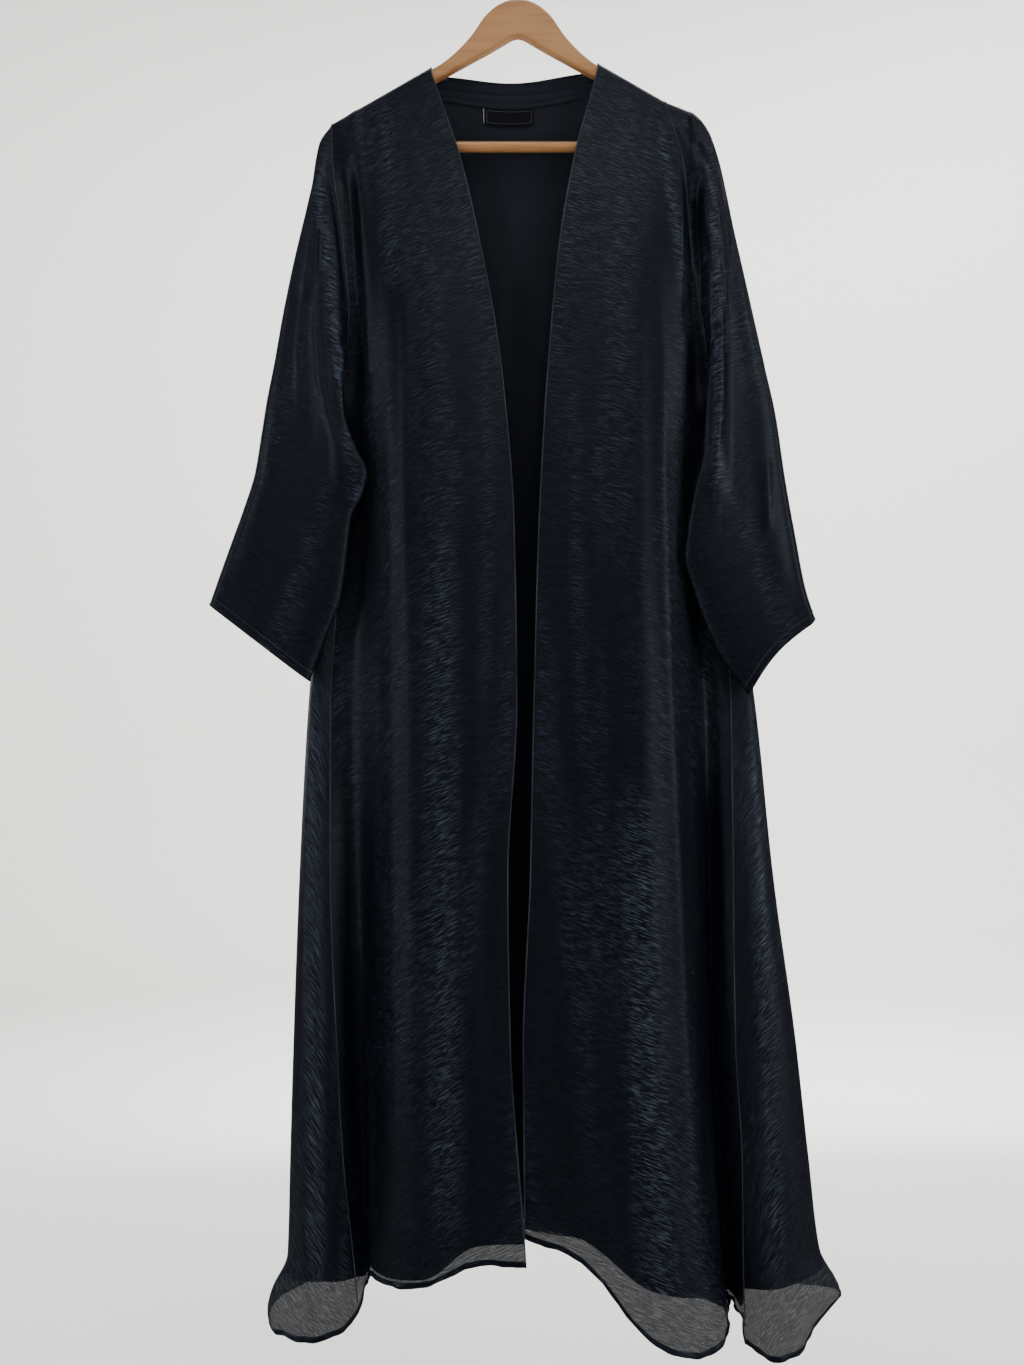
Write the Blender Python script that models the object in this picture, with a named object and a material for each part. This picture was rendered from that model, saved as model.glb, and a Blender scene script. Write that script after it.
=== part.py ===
"""An open-front abaya cloak, lined to just above its hem, on a wooden trouser-bar hanger.

Left and right are the wearer's: the wearer's left is at +X.  The front faces -Y and +Z is up.
The origin is the seat of the hanger's hook, where a rail holds it.  Sizes are in millimetres
until a mesh is made, which is in metres.
"""
import math

import bmesh
import bpy
import numpy as np

MM = 0.001

# --- Driving dimensions -------------------------------------------------------------------

CLOTH = 1.0              # wall of each piece of cloth
SEAM_GAP = 0.3           # between two sewn pieces
LAYER = 1.4              # from the middle of one layer of cloth to the next
EDGE_INSET = 3.0         # the linings stop this far inside the shell's front edges

SHOULDER_ROLL = 8.5      # radius at which the shell rolls over the hanger's arms
SEAM_ANGLE = 50.0        # the shoulder seams lie this far behind the arms' ridge, in degrees
SHOULDER_HEIGHT = -127.0 # ridge of the shoulder at the left neck point
SHOULDER_SLOPE = 0.575   # fall of the shoulder for each millimetre outward
NECK_RIGHT = -99.0
NECK_LEFT = 91.0
NECK_DIP = 10.1          # drop of the back neckline at its middle
NECK_BACK = 6.5          # how far behind the arms the back neckline stands
NECK_TURN = 0.15         # share of the half neckline over which it goes back there

UNDERARM = -444.0
BAND_HEIGHT = 30.0       # the facing inside the back neck
LABEL = {"x": (-40.0, 19.0), "height": 20.0, "drop": 0.6}

HANGER = {"half": 216.0, "thick": 12.0, "round": 4.8, "clear": 3.4, "top": -55.0, "notch": -97.0}
BAR = {"radius": 6.0, "height": -222.4, "half": 195.7, "sides": 16}
HOOK = {"wire": 2.0, "radius": 21.0, "foot": -54.7, "neck": -50.0, "first": -58, "last": 206, "step": 12}

# Points of the yoke's outline on one side, x and z: the hump above the arms, the foot below each
# arm's tip as distances in from the tip, and the V of its underside.
HUMP = ((20, -57.5), (32, -65), (40, -75.5), (47, -87), (55, -98), (65, -109), (76, -119.5), (90, -130))
ARM_START = 95.0
FOOT = ((0, -227), (4, -235), (10, -238), (17, -236), (20, -232), (20, -212), (32, -200))
UNDERSIDE = ((93, -147), (30, -112.5), (14, -103), (6, -98.5))

# --- The body's fold lines ----------------------------------------------------------------
# A row for each line that runs from the shoulder or neckline to the hem:
# name, x at its top, height of the hem there, how far the lining stops above that hem,
# then x and y at each of LEVELS.

LEVELS = (-240, -340, -444, -510, -656, -862, -1055, -1249, -1378, -1490, -1540)

FRONT_RIGHT = (
    ("edge", -99, -1487, 26,
     (-65, -42, -23, -15, -4, -1, -11, -8, 0, 2, 3),
     (-10, -12, -16, -19, -24, -32, -36, -42, -46, -47, -48)),
    ("inner", -123, -1481, 22,
     (-93, -77, -66, -62, -56, -51, -56, -53, -51, -49, -48),
     (-12, -17, -24, -28, -34, -42, -46, -52, -55, -56, -56)),
    ("crest", -148, -1500, 9,
     (-125, -116, -110, -110, -110, -100, -100, -97, -97, -100, -102),
     (-13, -20, -28, -32, -39, -48, -53, -58, -62, -64, -65)),
    ("flank", -170, -1499, 9,
     (-154, -147, -140, -139, -138, -136, -135, -133, -133, -138, -141),
     (-13, -20, -26, -29, -34, -40, -45, -50, -54, -57, -58)),
    ("fold", -189, -1502, 12,
     (-178, -170, -162, -160, -157, -161, -156, -154, -157, -163, -166),
     (-12, -17, -18, -18, -18, -20, -24, -28, -32, -37, -40)),
    ("recess", -203, -1530, 38,
     (-196, -187, -180, -180, -180, -193, -188, -181, -178, -174, -173),
     (-10, -12, -7, 0, 4, -2, 4, 8, 7, 3, 0)),
    ("seam", -213, -1543, 52,
     (-212, -201, -193, -197, -202, -215, -214, -206, -199, -187, -182),
     (-9, -9, 0, 5, 5, -3, -12, -16, -16, -17, -18)),
)

BACK = (
    ("seam right", -213, -1543, 52,
     (-212, -201, -193, -197, -202, -215, -214, -206, -199, -187, -182),
     (9, 10, 0, 5, 5, -3, -12, -16, -16, -17, -18)),
    ("crest right", -207, -1569, 66,
     (-208, -199, -196.5, -207, -211, -227, -229, -228, -226, -225, -224),
     (10, 15, 9.5, 9, 5, -5, -20, -30, -38, -43, -46)),
    ("side right", -198, -1567, 68,
     (-202, -192, -190, -208, -221, -242, -251, -257, -260, -263, -280),
     (11, 18, 17, 16, 13, 5, -2, -8, -12, -13, -12)),
    ("turn right", -172, -1545, 58,
     (-178, -170, -168, -184, -203, -215, -220, -222, -221, -225, -227),
     (12, 19, 24, 26, 28, 28, 24, 20, 16, 13, 12)),
    ("neck right", -99, -1540, 60,
     (-102, -108, -112, -118, -129, -139, -145, -149, -151, -153, -154),
     (13, 17, 22, 25, 30, 34, 36, 38, 38, 38, 38)),
    ("back right", -58, -1538, 60,
     (-56, -56, -58, -60, -65, -70, -74, -77, -79, -81, -82),
     (16, 17, 18, 20, 24, 28, 28, 26, 24, 23, 22)),
    ("middle", -3, -1540, 60,
     (-3, -2, -2, -2, -2, -2, -2, -2, -2, -2, -2),
     (16, 17, 17, 18, 20, 24, 30, 36, 40, 41, 42)),
    ("back left", 50, -1542, 60,
     (49, 51, 54, 56, 61, 66, 69, 73, 75, 78, 80),
     (16, 17, 18, 20, 24, 28, 28, 26, 24, 23, 22)),
    ("neck left", 91, -1548, 60,
     (95, 103, 110, 115, 125, 135, 145, 152, 157, 161, 164),
     (13, 17, 22, 25, 30, 36, 38, 40, 42, 42, 42)),
    ("turn left", 144, -1550, 60,
     (156, 172, 184, 194, 202, 220, 227, 238, 244, 249, 253),
     (12, 19, 24, 26, 28, 28, 24, 20, 16, 13, 12)),
    ("side left", 156, -1540, 55,
     (176, 192, 208, 224, 243, 274, 293, 319, 333, 347, 366),
     (11, 18, 17, 16, 13, 5, -2, -6, -8, -7, -6)),
    ("crest left", 163, -1590, 78,
     (184, 199, 214, 223, 235, 257, 260, 268, 274, 281, 284),
     (10, 15, 9, 9, 5, -5, -22, -32, -40, -45, -48)),
    ("seam left", 169, -1573, 70,
     (188, 202, 211, 216, 224, 244, 244, 246, 253, 254, 255),
     (9, 10, 0, 5, 5, -4, -18, -22, -24, -25, -26)),
)

FRONT_LEFT = (
    ("edge", 91, -1459, 15,
     (63, 46, 36, 31, 23, 17, 13, 5, 6, 7, 8),
     (-10, -12, -16, -19, -24, -30, -34, -36, -38, -39, -40)),
    ("inner", 106, -1477, 26,
     (87, 82, 79, 77, 74, 71, 69, 66, 66, 69, 70),
     (-12, -17, -23, -27, -33, -41, -46, -50, -52, -53, -54)),
    ("crest", 121, -1557, 58,
     (114, 118, 121, 121, 120, 124, 128, 133, 138, 144, 148),
     (-13, -20, -27, -31, -38, -47, -54, -60, -66, -74, -78)),
    ("flank", 135, -1572, 64,
     (139, 149, 156, 157, 159, 167, 175, 183, 189, 194, 197),
     (-13, -19, -24, -28, -34, -40, -46, -52, -58, -68, -72)),
    ("fold", 147, -1560, 58,
     (158, 173, 179, 181, 185, 192, 201, 209, 217, 223, 231),
     (-12, -16, -16, -17, -18, -20, -24, -28, -32, -40, -44)),
    ("recess", 156, -1552, 55,
     (171, 187, 193, 195, 199, 218, 221, 225, 232, 238, 242),
     (-11, -13, -6, 0, 3, 5, 8, 10, 8, 6, 5)),
    ("lip", 163, -1560, 62,
     (180, 195, 203, 206, 213, 233, 234, 238, 246, 250, 252),
     (-10, -11, -3, 3, 4, -2, -10, -12, -12, -12, -12)),
    ("seam", 169, -1573, 70,
     (188, 202, 211, 216, 224, 244, 244, 246, 253, 254, 255),
     (-9, -9, 0, 5, 5, -4, -18, -22, -24, -25, -26)),
)

# Cells between one line and the next, counted from the front edge or from the right side seam.
FRONT_RIGHT_CELLS = (2, 2, 2, 3, 3, 3)
FRONT_LEFT_CELLS = (2, 2, 2, 3, 3, 2, 2)
BACK_CELLS = (2, 3, 3, 2, 3, 2, 2, 3, 2, 3, 3, 2)

FRONT_ROLL_ANGLES = (-SEAM_ANGLE, -25.0, 0.0, 30.0, 60.0, 90.0)
BACK_ROLL_ANGLES = (SEAM_ANGLE, 70.0, 90.0)
ARMHOLE_CELLS = 7        # rows from the shoulder's roll to the underarm, closer at both ends
ARMHOLE_SHARES = [
    (1 - math.cos(math.pi * k / ARMHOLE_CELLS)) / 2 for k in range(1, ARMHOLE_CELLS + 1)]
SKIRT_CELLS = 10         # rows from the underarm to the lining's edge
SKIRT_SPREAD = 1.25      # above 1, those rows are closer at the underarm
HEM_CELLS = 2            # rows from the lining's edge to the hem

# --- The sleeves --------------------------------------------------------------------------

SLEEVE_ROLL = 8.5        # radius of the outer fold
ARMHOLE_HALF = 10.0      # half the depth between the armhole's front and its back
UNDERARM_CLEAR = 2.4     # the sleeve's seam stands this far off the body's at the underarm
CAP_SECTIONS = 6         # sections over which the armhole's own curve fades out of the sleeve

# A row for each section, the first one at the armhole: x and z of its outer fold, x and z of
# its inner fold, y of the outer fold, y of the inner fold, half the sleeve's depth, and how far
# the middle of the section is drawn up toward the shoulder.

SLEEVE_RIGHT = (
    (-213, -197, -193, -444, 0, 0, ARMHOLE_HALF, 0),
    (-228, -220, -199, -466, 0, -4, 12, 0),
    (-234, -256, -203, -490, 0, -8, 13, 0),
    (-243, -295, -204, -512, 0, -11, 13, 0),
    (-256, -350, -200, -534, -1, -14, 13, 0),
    (-269, -415, -193, -553, -2, -16, 13, 0),
    (-279, -474, -182, -574, -4, -17, 13, 0),
    (-288, -520, -170, -600, -6, -18, 13, 0),
    (-294, -560, -176, -625, -8, -18, 12, 0),
    (-300, -600, -188, -650, -11, -19, 11, 0),
    (-312, -640, -193, -690, -13, -19, 11, 0),
    (-324, -675, -200, -740, -15, -19, 11, 0),
    (-337, -712, -217, -785, -16, -19, 11, 0),
    (-350, -750, -236, -837, -17, -19, 11, 0),
)

SLEEVE_LEFT = (
    (169, -172, 211, -444, 0, 0, ARMHOLE_HALF, 0),
    (187, -179, 216, -463, 0, -4, 12, 0),
    (204, -187, 219, -480, 0, -8, 12, 0),
    (219, -206, 220, -497, 0, -12, 12, 0),
    (238, -272, 218, -514, 0, -15, 12, 0),
    (246, -310, 216, -533, 0, -18, 13, 0),
    (258, -365, 212, -556, -2, -20, 13, 0),
    (270, -420, 206, -585, -4, -22, 13, 0),
    (283, -480, 198, -619, -6, -25, 12, 0),
    (294, -533, 191, -659, -9, -28, 11, 0),
    (304, -605, 187, -696, -12, -29, 11, 0),
    (315, -670, 198, -735, -14, -26, 11, 0),
    (326, -730, 225, -801, -16, -21, 11, 3),
    (337, -766, 261, -852, -17, -19, 11, 8),
)

# --- Colours: base colour, roughness and metallic value -----------------------------------

FINISHES = {
    "shell": ((0.016, 0.022, 0.038), 0.42, 0.0),
    "lining": ((0.013, 0.016, 0.026), 0.65, 0.0),
    "label": ((0.008, 0.009, 0.014), 0.6, 0.0),
    "wood": ((0.43, 0.24, 0.10), 0.45, 0.0),
    "steel": ((0.62, 0.62, 0.60), 0.25, 1.0),
}


# --- Curves -------------------------------------------------------------------------------

def smooth(knots, values, at):
    """A monotone cubic curve through values at rising knots."""
    knots, values, at = (np.asarray(a, dtype=float) for a in (knots, values, at))
    step = np.diff(knots)
    slope = np.diff(values) / step
    tangent = np.empty_like(values)
    tangent[0], tangent[-1] = slope[0], slope[-1]
    for k in range(1, len(values) - 1):
        a, b = slope[k - 1], slope[k]
        if a * b <= 0:
            tangent[k] = 0.0
        else:
            wa, wb = 2 * step[k] + step[k - 1], step[k] + 2 * step[k - 1]
            tangent[k] = (wa + wb) / (wa / a + wb / b)
    k = np.clip(np.searchsorted(knots, at, side="right") - 1, 0, len(step) - 1)
    h = step[k]
    u = (at - knots[k]) / h
    return ((1 + 2 * u) * (1 - u) ** 2 * values[k] + u * (1 - u) ** 2 * h * tangent[k]
            + u * u * (3 - 2 * u) * values[k + 1] + u * u * (u - 1) * h * tangent[k + 1])


def ease(u):
    u = min(max(u, 0.0), 1.0)
    return u * u * (3 - 2 * u)


def layer_depth(half_depth, share):
    """How far a sleeve's layer lies from its middle plane, from the outer fold to the inner one."""
    open_depth = SLEEVE_ROLL + (half_depth - SLEEVE_ROLL) * math.sin(math.pi / 2 * share)
    return open_depth * math.sqrt(1 - share ** 6)


def unit(vectors):
    return vectors / np.maximum(np.linalg.norm(vectors, axis=-1, keepdims=True), 1e-9)


# --- The body's surface -------------------------------------------------------------------

def ridge(x):
    """Height of the shell's ridge along the shoulder."""
    return SHOULDER_HEIGHT - SHOULDER_SLOPE * (abs(x) - NECK_LEFT)


def roll_centre(x):
    """Depth and height of the line that the top of the shell rolls around, at x."""
    if x <= NECK_RIGHT or x >= NECK_LEFT:
        return 0.0, ridge(x) - SHOULDER_ROLL
    share = (x - NECK_RIGHT) / (NECK_LEFT - NECK_RIGHT)
    height = (1 - share) * ridge(NECK_RIGHT) + share * ridge(NECK_LEFT) - SHOULDER_ROLL
    off_middle = abs(2 * share - 1)
    dip = NECK_DIP * (1 + math.cos(math.pi * off_middle)) / 2
    return NECK_BACK * ease((1 - off_middle) / NECK_TURN), height - dip


class Body:
    """One panel of the body: its fold lines, and the surface that runs smoothly over them."""

    def __init__(self, lines, cells, angles):
        self.front = angles[0] < 0
        self.angles = angles
        self.lines = lines
        self.places = np.concatenate(
            [k + np.arange(n) / n for k, n in enumerate(cells)] + [[len(cells)]])

    def across(self, per_line, places):
        return smooth(range(len(self.lines)), per_line, places)

    def at_height(self, heights, places):
        """Points of the surface at one height for each place across it."""
        heights = np.broadcast_to(heights, np.shape(places))
        points = []
        for height, place in zip(heights, places):
            xs, ys = [], []
            for name, top, hem, rise, x_row, y_row in self.lines:
                depth, base = roll_centre(top)
                start = depth - SHOULDER_ROLL if self.front else depth + SHOULDER_ROLL
                knots = [-base] + [-level for level in LEVELS]
                xs.append(float(smooth(knots, [top, *x_row], -height)))
                ys.append(float(smooth(knots, [start, *y_row], -height)))
            points.append((self.across(xs, place), self.across(ys, place), height))
        return np.array(points, dtype=float)

    def tops(self, places):
        return self.across([line[1] for line in self.lines], places)

    def roll_row(self, angle, places):
        turn = math.radians(angle)
        side = -1 if self.front else 1
        row = []
        for x in self.tops(places):
            depth, height = roll_centre(x)
            row.append((x, depth + side * SHOULDER_ROLL * math.sin(turn),
                        height + SHOULDER_ROLL * math.cos(turn)))
        return np.array(row)

    def seam_normals(self, row):
        """Normals along the top row: out from the roll's centre, square to the row."""
        turn = math.radians(self.angles[0])
        radial = np.array((0, (-1 if self.front else 1) * math.sin(turn), math.cos(turn)))
        along = unit(np.gradient(row, axis=0))
        return unit(radial - along * (along @ radial)[:, None])

    def round_armhole(self, row, share, places):
        """Stands the row's armhole ends off from the armhole's other side, as the sleeve does."""
        if share == 1.0:
            return row
        last = len(self.lines) - 1
        for end in ([last] if self.front else [0, last]):
            column = -1 if end else 0
            shift = (-1 if self.front else 1) * layer_depth(ARMHOLE_HALF, share) - row[column, 1]
            near = np.clip(1 - np.abs(places - end) / 2, 0, 1)
            row[:, 1] += shift * near ** 2
        return row

    def grid(self, places=None):
        """Rows of points from the shoulder seam or neckline down to the hem."""
        places = self.places if places is None else places
        rows = [self.roll_row(angle, places) for angle in self.angles]
        base = rows[-1][:, 2]
        hem = self.across([line[2] for line in self.lines], places)
        edge = hem + self.across([line[3] for line in self.lines], places)
        for share in ARMHOLE_SHARES:
            row = self.at_height(base + share * (UNDERARM - base), places)
            rows.append(self.round_armhole(row, share, places))
        for k in range(1, SKIRT_CELLS + 1):
            share = (k / SKIRT_CELLS) ** SKIRT_SPREAD
            rows.append(self.at_height(UNDERARM + share * (edge - UNDERARM), places))
        for k in range(1, HEM_CELLS + 1):
            rows.append(self.at_height(edge + k / HEM_CELLS * (hem - edge), places))
        return np.array(rows)

    @property
    def underarm_row(self):
        return len(self.angles) - 1 + ARMHOLE_CELLS


def normals_of(points, outward):
    """Unit normals of a grid, on the side that outward points to at each place."""
    normal = unit(np.cross(np.gradient(points, axis=0), np.gradient(points, axis=1)))
    return normal * outward


def inset(points, index, towards, distance):
    """Moves one column or row of a grid toward its neighbour by a distance."""
    moved = points.copy()
    step = unit(points[:, towards] - points[:, index])
    moved[:, index] = points[:, index] + step * distance
    return moved


def inset_rows(points, index, towards, distance):
    return inset(points.transpose(1, 0, 2), index, towards, distance).transpose(1, 0, 2)


# --- Meshes -------------------------------------------------------------------------------

def finish(name):
    colour, roughness, metallic = FINISHES[name]
    material = bpy.data.materials.get(name) or bpy.data.materials.new(name)
    material.use_nodes = True
    shader = material.node_tree.nodes["Principled BSDF"]
    shader.inputs["Base Color"].default_value = (*colour, 1.0)
    shader.inputs["Roughness"].default_value = roughness
    shader.inputs["Metallic"].default_value = metallic
    return material


def add_object(name, mesh, material, smooth_angle=40.0):
    mesh.materials.append(finish(material))
    mesh.shade_smooth()
    mesh.set_sharp_from_angle(angle=math.radians(smooth_angle))
    placed = bpy.data.objects.new(name, mesh)
    bpy.context.collection.objects.link(placed)
    return placed


def wall(name, middle, normals, material, closed=False):
    """A sheet of cloth about a grid of points; closed joins its last column to its first."""
    rows, columns = middle.shape[:2]
    outer = middle + normals * CLOTH / 2
    inner = middle - normals * CLOTH / 2
    points = np.concatenate([outer.reshape(-1, 3), inner.reshape(-1, 3)]) * MM
    under = rows * columns

    def at(i, j):
        return i * columns + j % columns

    faces = []
    for i in range(rows - 1):
        for j in range(columns if closed else columns - 1):
            a, b, c, d = at(i, j), at(i + 1, j), at(i + 1, j + 1), at(i, j + 1)
            faces += [(a, b, c), (a, c, d)]
            faces += [(under + a, under + c, under + b), (under + a, under + d, under + c)]
    rims = [[at(0, j) for j in range(columns)], [at(rows - 1, j) for j in reversed(range(columns))]]
    if closed:
        rims = [rim + rim[:1] for rim in rims]
    else:
        rims.append([at(i, 0) for i in reversed(range(rows))])
        rims.append([at(i, columns - 1) for i in range(rows)])
    for rim in rims:
        for a, b in zip(rim, rim[1:]):
            faces += [(a, b, under + b), (a, under + b, under + a)]
    mesh = bpy.data.meshes.new(name)
    mesh.from_pydata(points.tolist(), [], faces)
    shape = bmesh.new()
    shape.from_mesh(mesh)
    bmesh.ops.recalc_face_normals(shape, faces=shape.faces)
    if shape.calc_volume(signed=True) < 0:
        bmesh.ops.reverse_faces(shape, faces=shape.faces)
    shape.to_mesh(mesh)
    shape.free()
    return add_object(name, mesh, material)


def slab(name, outline, thick, rounding, material):
    """An outline of (x, z) points, thick along Y, with rounded long edges."""
    shape = bmesh.new()
    face = shape.faces.new([shape.verts.new((x * MM, -thick / 2 * MM, z * MM)) for x, z in outline])
    swept = bmesh.ops.extrude_face_region(shape, geom=[face])
    moved = [v for v in swept["geom"] if isinstance(v, bmesh.types.BMVert)]
    bmesh.ops.translate(shape, verts=moved, vec=(0, thick * MM, 0))
    bmesh.ops.recalc_face_normals(shape, faces=shape.faces)
    long_edges = [e for e in shape.edges if abs(e.verts[0].co.y - e.verts[1].co.y) < MM * 0.01]
    bmesh.ops.bevel(shape, geom=long_edges, offset=rounding * MM, segments=2, profile=0.5,
                    affect="EDGES", clamp_overlap=True)
    mesh = bpy.data.meshes.new(name)
    shape.to_mesh(mesh)
    shape.free()
    return add_object(name, mesh, material)


# --- The pieces ---------------------------------------------------------------------------

def body_panels():
    """The shell's three panels, with shared normals where the side seams join them."""
    panels = {
        "front_right": Body(FRONT_RIGHT, FRONT_RIGHT_CELLS, FRONT_ROLL_ANGLES),
        "front_left": Body(FRONT_LEFT, FRONT_LEFT_CELLS, FRONT_ROLL_ANGLES),
        "back": Body(BACK, BACK_CELLS, BACK_ROLL_ANGLES),
    }
    grids = {name: panel.grid() for name, panel in panels.items()}
    front_under = panels["front_right"].underarm_row
    back_under = panels["back"].underarm_row
    for name, column in (("front_right", 0), ("front_left", -1)):
        shared = (grids[name][front_under:, -1] + grids["back"][back_under:, column]) / 2
        grids[name][front_under:, -1] = shared
        grids["back"][back_under:, column] = shared
    # Columns run from the front edge to the seam on a front, and right to left on the back.
    sides = {"front_right": -1, "front_left": 1, "back": -1}
    normals = {name: normals_of(grids[name], sides[name]) for name in grids}
    for name, panel in panels.items():
        normals[name][0] = panel.seam_normals(grids[name][0])
    for name, column in (("front_right", 0), ("front_left", -1)):
        shared = unit(normals[name][front_under:, -1] + normals["back"][back_under:, column])
        normals[name][front_under:, -1] = shared
        normals["back"][back_under:, column] = shared
    return panels, grids, normals


def trimmed(grid, front, edge_inset=0.0):
    """A panel's grid, drawn back from its seams by half the gap, and at a front edge by edge_inset."""
    half = SEAM_GAP / 2
    out = inset(grid, -1, -2, half)
    out = inset(out, 0, 1, edge_inset if front else half)
    return inset_rows(out, 0, 1, half)


def build_shell(grids, normals):
    for name, grid in grids.items():
        wall("shell_" + name, trimmed(grid, name != "back"), normals[name], "shell")


def build_linings(grids, normals):
    for name, grid in grids.items():
        rows = len(grid) - HEM_CELLS
        middle = trimmed(grid, name != "back", EDGE_INSET)[:rows] - normals[name][:rows] * LAYER
        wall("lining_" + name, middle, normals[name][:rows], "lining")


def inside_back(name, rows, material):
    """A piece that lies on the inside of the back's lining, over rows of the back's surface."""
    grid = np.array(rows)
    facing = normals_of(grid, -1)
    wall(name, grid - facing * (2 * LAYER + SEAM_GAP), facing, material)


def build_neck_band(back):
    """The facing inside the back neck, from the neckline down."""
    names = [line[0] for line in BACK]
    first, last = names.index("neck right"), names.index("neck left")
    places = back.places[(back.places > first) & (back.places < last)]
    rows = [back.roll_row(angle, places) for angle in back.angles]
    base, edge = rows[-1][:, 2], rows[0][:, 2] - BAND_HEIGHT
    rows += [back.at_height(base + share * (edge - base), places) for share in (0.5, 1.0)]
    inside_back("neck_band", inset_rows(np.array(rows), 0, 1, SEAM_GAP / 2), "lining")


def build_neck_label(back):
    """The label, sewn on just below the facing."""
    places = np.interp(np.linspace(*LABEL["x"], 4), back.tops(back.places), back.places)
    start = back.roll_row(SEAM_ANGLE, places)[:, 2] - BAND_HEIGHT - LABEL["drop"]
    rows = [back.at_height(start - share * LABEL["height"], places) for share in (0.0, 0.5, 1.0)]
    inside_back("neck_label", rows, "label")


def sleeve_ring(row):
    """One section of a sleeve: down its front layer from the shoulder, and up its back layer."""
    outer_x, outer_z, inner_x, inner_z, outer_y, inner_y, half_depth, bow = row
    outer = np.array((outer_x, outer_y, outer_z), dtype=float)
    inner = np.array((inner_x, inner_y, inner_z), dtype=float)
    down = unit(inner - outer)
    centre = outer + down * SLEEVE_ROLL

    backward = np.array((0.0, 1.0, 0.0))
    up = unit(np.array((-abs(down[2]) * np.sign(outer_x), 0, abs(down[0]))))

    def rolled(angle, side):
        turn = math.radians(angle)
        return centre + SLEEVE_ROLL * (backward * side * math.sin(turn) - down * math.cos(turn))

    def layer(share, side):
        middle = centre + (inner - centre) * share + up * bow * math.sin(math.pi * share)
        return middle + backward * side * layer_depth(half_depth, share)

    ring = [rolled(angle, -1) for angle in FRONT_ROLL_ANGLES]
    ring += [layer(share, -1) for share in ARMHOLE_SHARES]
    ring += [layer(share, 1) for share in reversed(ARMHOLE_SHARES[:-1])]
    ring += [rolled(angle, 1) for angle in reversed(BACK_ROLL_ANGLES[1:])]
    return np.array(ring)


def build_sleeve(side, rows, outward, panels, grids, normals):
    """A tube of sections whose first one follows the armhole, down its front and up its back."""
    front_name = "front_" + side
    front_under, back_under = panels[front_name].underarm_row, panels["back"].underarm_row
    down, up = slice(0, front_under + 1), slice(back_under - 1, 0, -1)
    column, beside = (0, 1) if outward < 0 else (-1, -2)
    front, back = grids[front_name][down], grids["back"][up]
    armhole = np.concatenate([front[:, -1], back[:, column]])
    away = unit(np.concatenate([front[:, -1] - front[:, -2], back[:, column] - back[:, beside]]))
    body = np.concatenate([normals[front_name][down, -1], normals["back"][up, column]])

    rings = np.array([sleeve_ring(row) for row in rows])
    off_section = armhole - rings[0]
    for k in range(CAP_SECTIONS):
        rings[k] += off_section * (1 - k / CAP_SECTIONS)
    closed = np.concatenate([rings[:, -1:], rings, rings[:, :1]], axis=1)
    facing = normals_of(closed, -outward)[:, 1:-1]
    # The seam faces as the body does, but where the body turns along the sleeve it faces as the
    # sleeve does and stands further off.
    alike = np.clip(2 * np.sum(body * facing[0], axis=1, keepdims=True) - 0.4, 0, 1)
    facing[0] = unit(alike * body + (1 - alike) * facing[0])
    gap = SEAM_GAP + CLOTH * (1 - alike)
    gap[front_under] = UNDERARM_CLEAR
    away = unit(alike * away + (1 - alike) * body)
    away[front_under] = unit(np.array((outward, 0, 2)))
    rings[0] += away * gap
    wall("sleeve_" + side, rings, facing, "shell", closed=True)


def build_yoke():
    """A flat wooden yoke with a round hump, sloping arms and a foot at each tip."""
    half, clear = HANGER["half"], HANGER["clear"]
    arm = [(ARM_START, ridge(ARM_START) - clear), (half - 10, ridge(half - 10) - clear),
           (half - 3, ridge(half) - clear - 3), (half, ridge(half) - clear - 10)]
    foot = [(half - inward, z) for inward, z in FOOT]
    side = [*HUMP, *arm, *foot, *UNDERSIDE]
    mirrored = [(-x, z) for x, z in reversed(side)]
    outline = [(0, HANGER["top"]), *side, (0, HANGER["notch"]), *mirrored]
    slab("hanger_body", outline, HANGER["thick"], HANGER["round"], "wood")


def build_bar():
    """The round trouser bar between the yoke's feet."""
    bpy.ops.mesh.primitive_cylinder_add(
        vertices=BAR["sides"], radius=BAR["radius"] * MM, depth=2 * BAR["half"] * MM,
        location=(0, 0, BAR["height"] * MM), rotation=(0, math.pi / 2, 0))
    bar = bpy.context.object
    bar.name = "hanger_bar"
    bar.data.name = "hanger_bar"
    bar.data.materials.append(finish("wood"))


def build_hook():
    """A wire hook whose inside rests on the rail at the origin."""
    radius = HOOK["radius"]
    middle = HOOK["wire"] - radius
    route = [(0, HOOK["foot"]), (0, HOOK["neck"]), (1, -46.5), (5, -42)]
    for angle in range(HOOK["first"], HOOK["last"], HOOK["step"]):
        turn = math.radians(angle)
        route.append((radius * math.cos(turn), middle + radius * math.sin(turn)))
    curve = bpy.data.curves.new("hanger_hook", "CURVE")
    curve.dimensions = "3D"
    curve.bevel_depth = HOOK["wire"] * MM
    curve.bevel_resolution = 2
    curve.use_fill_caps = True
    spline = curve.splines.new("POLY")
    spline.points.add(len(route) - 1)
    for point, (x, z) in zip(spline.points, route):
        point.co = (x * MM, 0, z * MM, 1)
    curve.materials.append(finish("steel"))
    hook = bpy.data.objects.new("hanger_hook", curve)
    bpy.context.collection.objects.link(hook)


def main():
    for old in list(bpy.data.objects):
        bpy.data.objects.remove(old, do_unlink=True)
    panels, grids, normals = body_panels()
    build_shell(grids, normals)
    build_linings(grids, normals)
    build_neck_band(panels["back"])
    build_neck_label(panels["back"])
    build_sleeve("right", SLEEVE_RIGHT, -1, panels, grids, normals)
    build_sleeve("left", SLEEVE_LEFT, 1, panels, grids, normals)
    build_yoke()
    build_bar()
    build_hook()


main()
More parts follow.
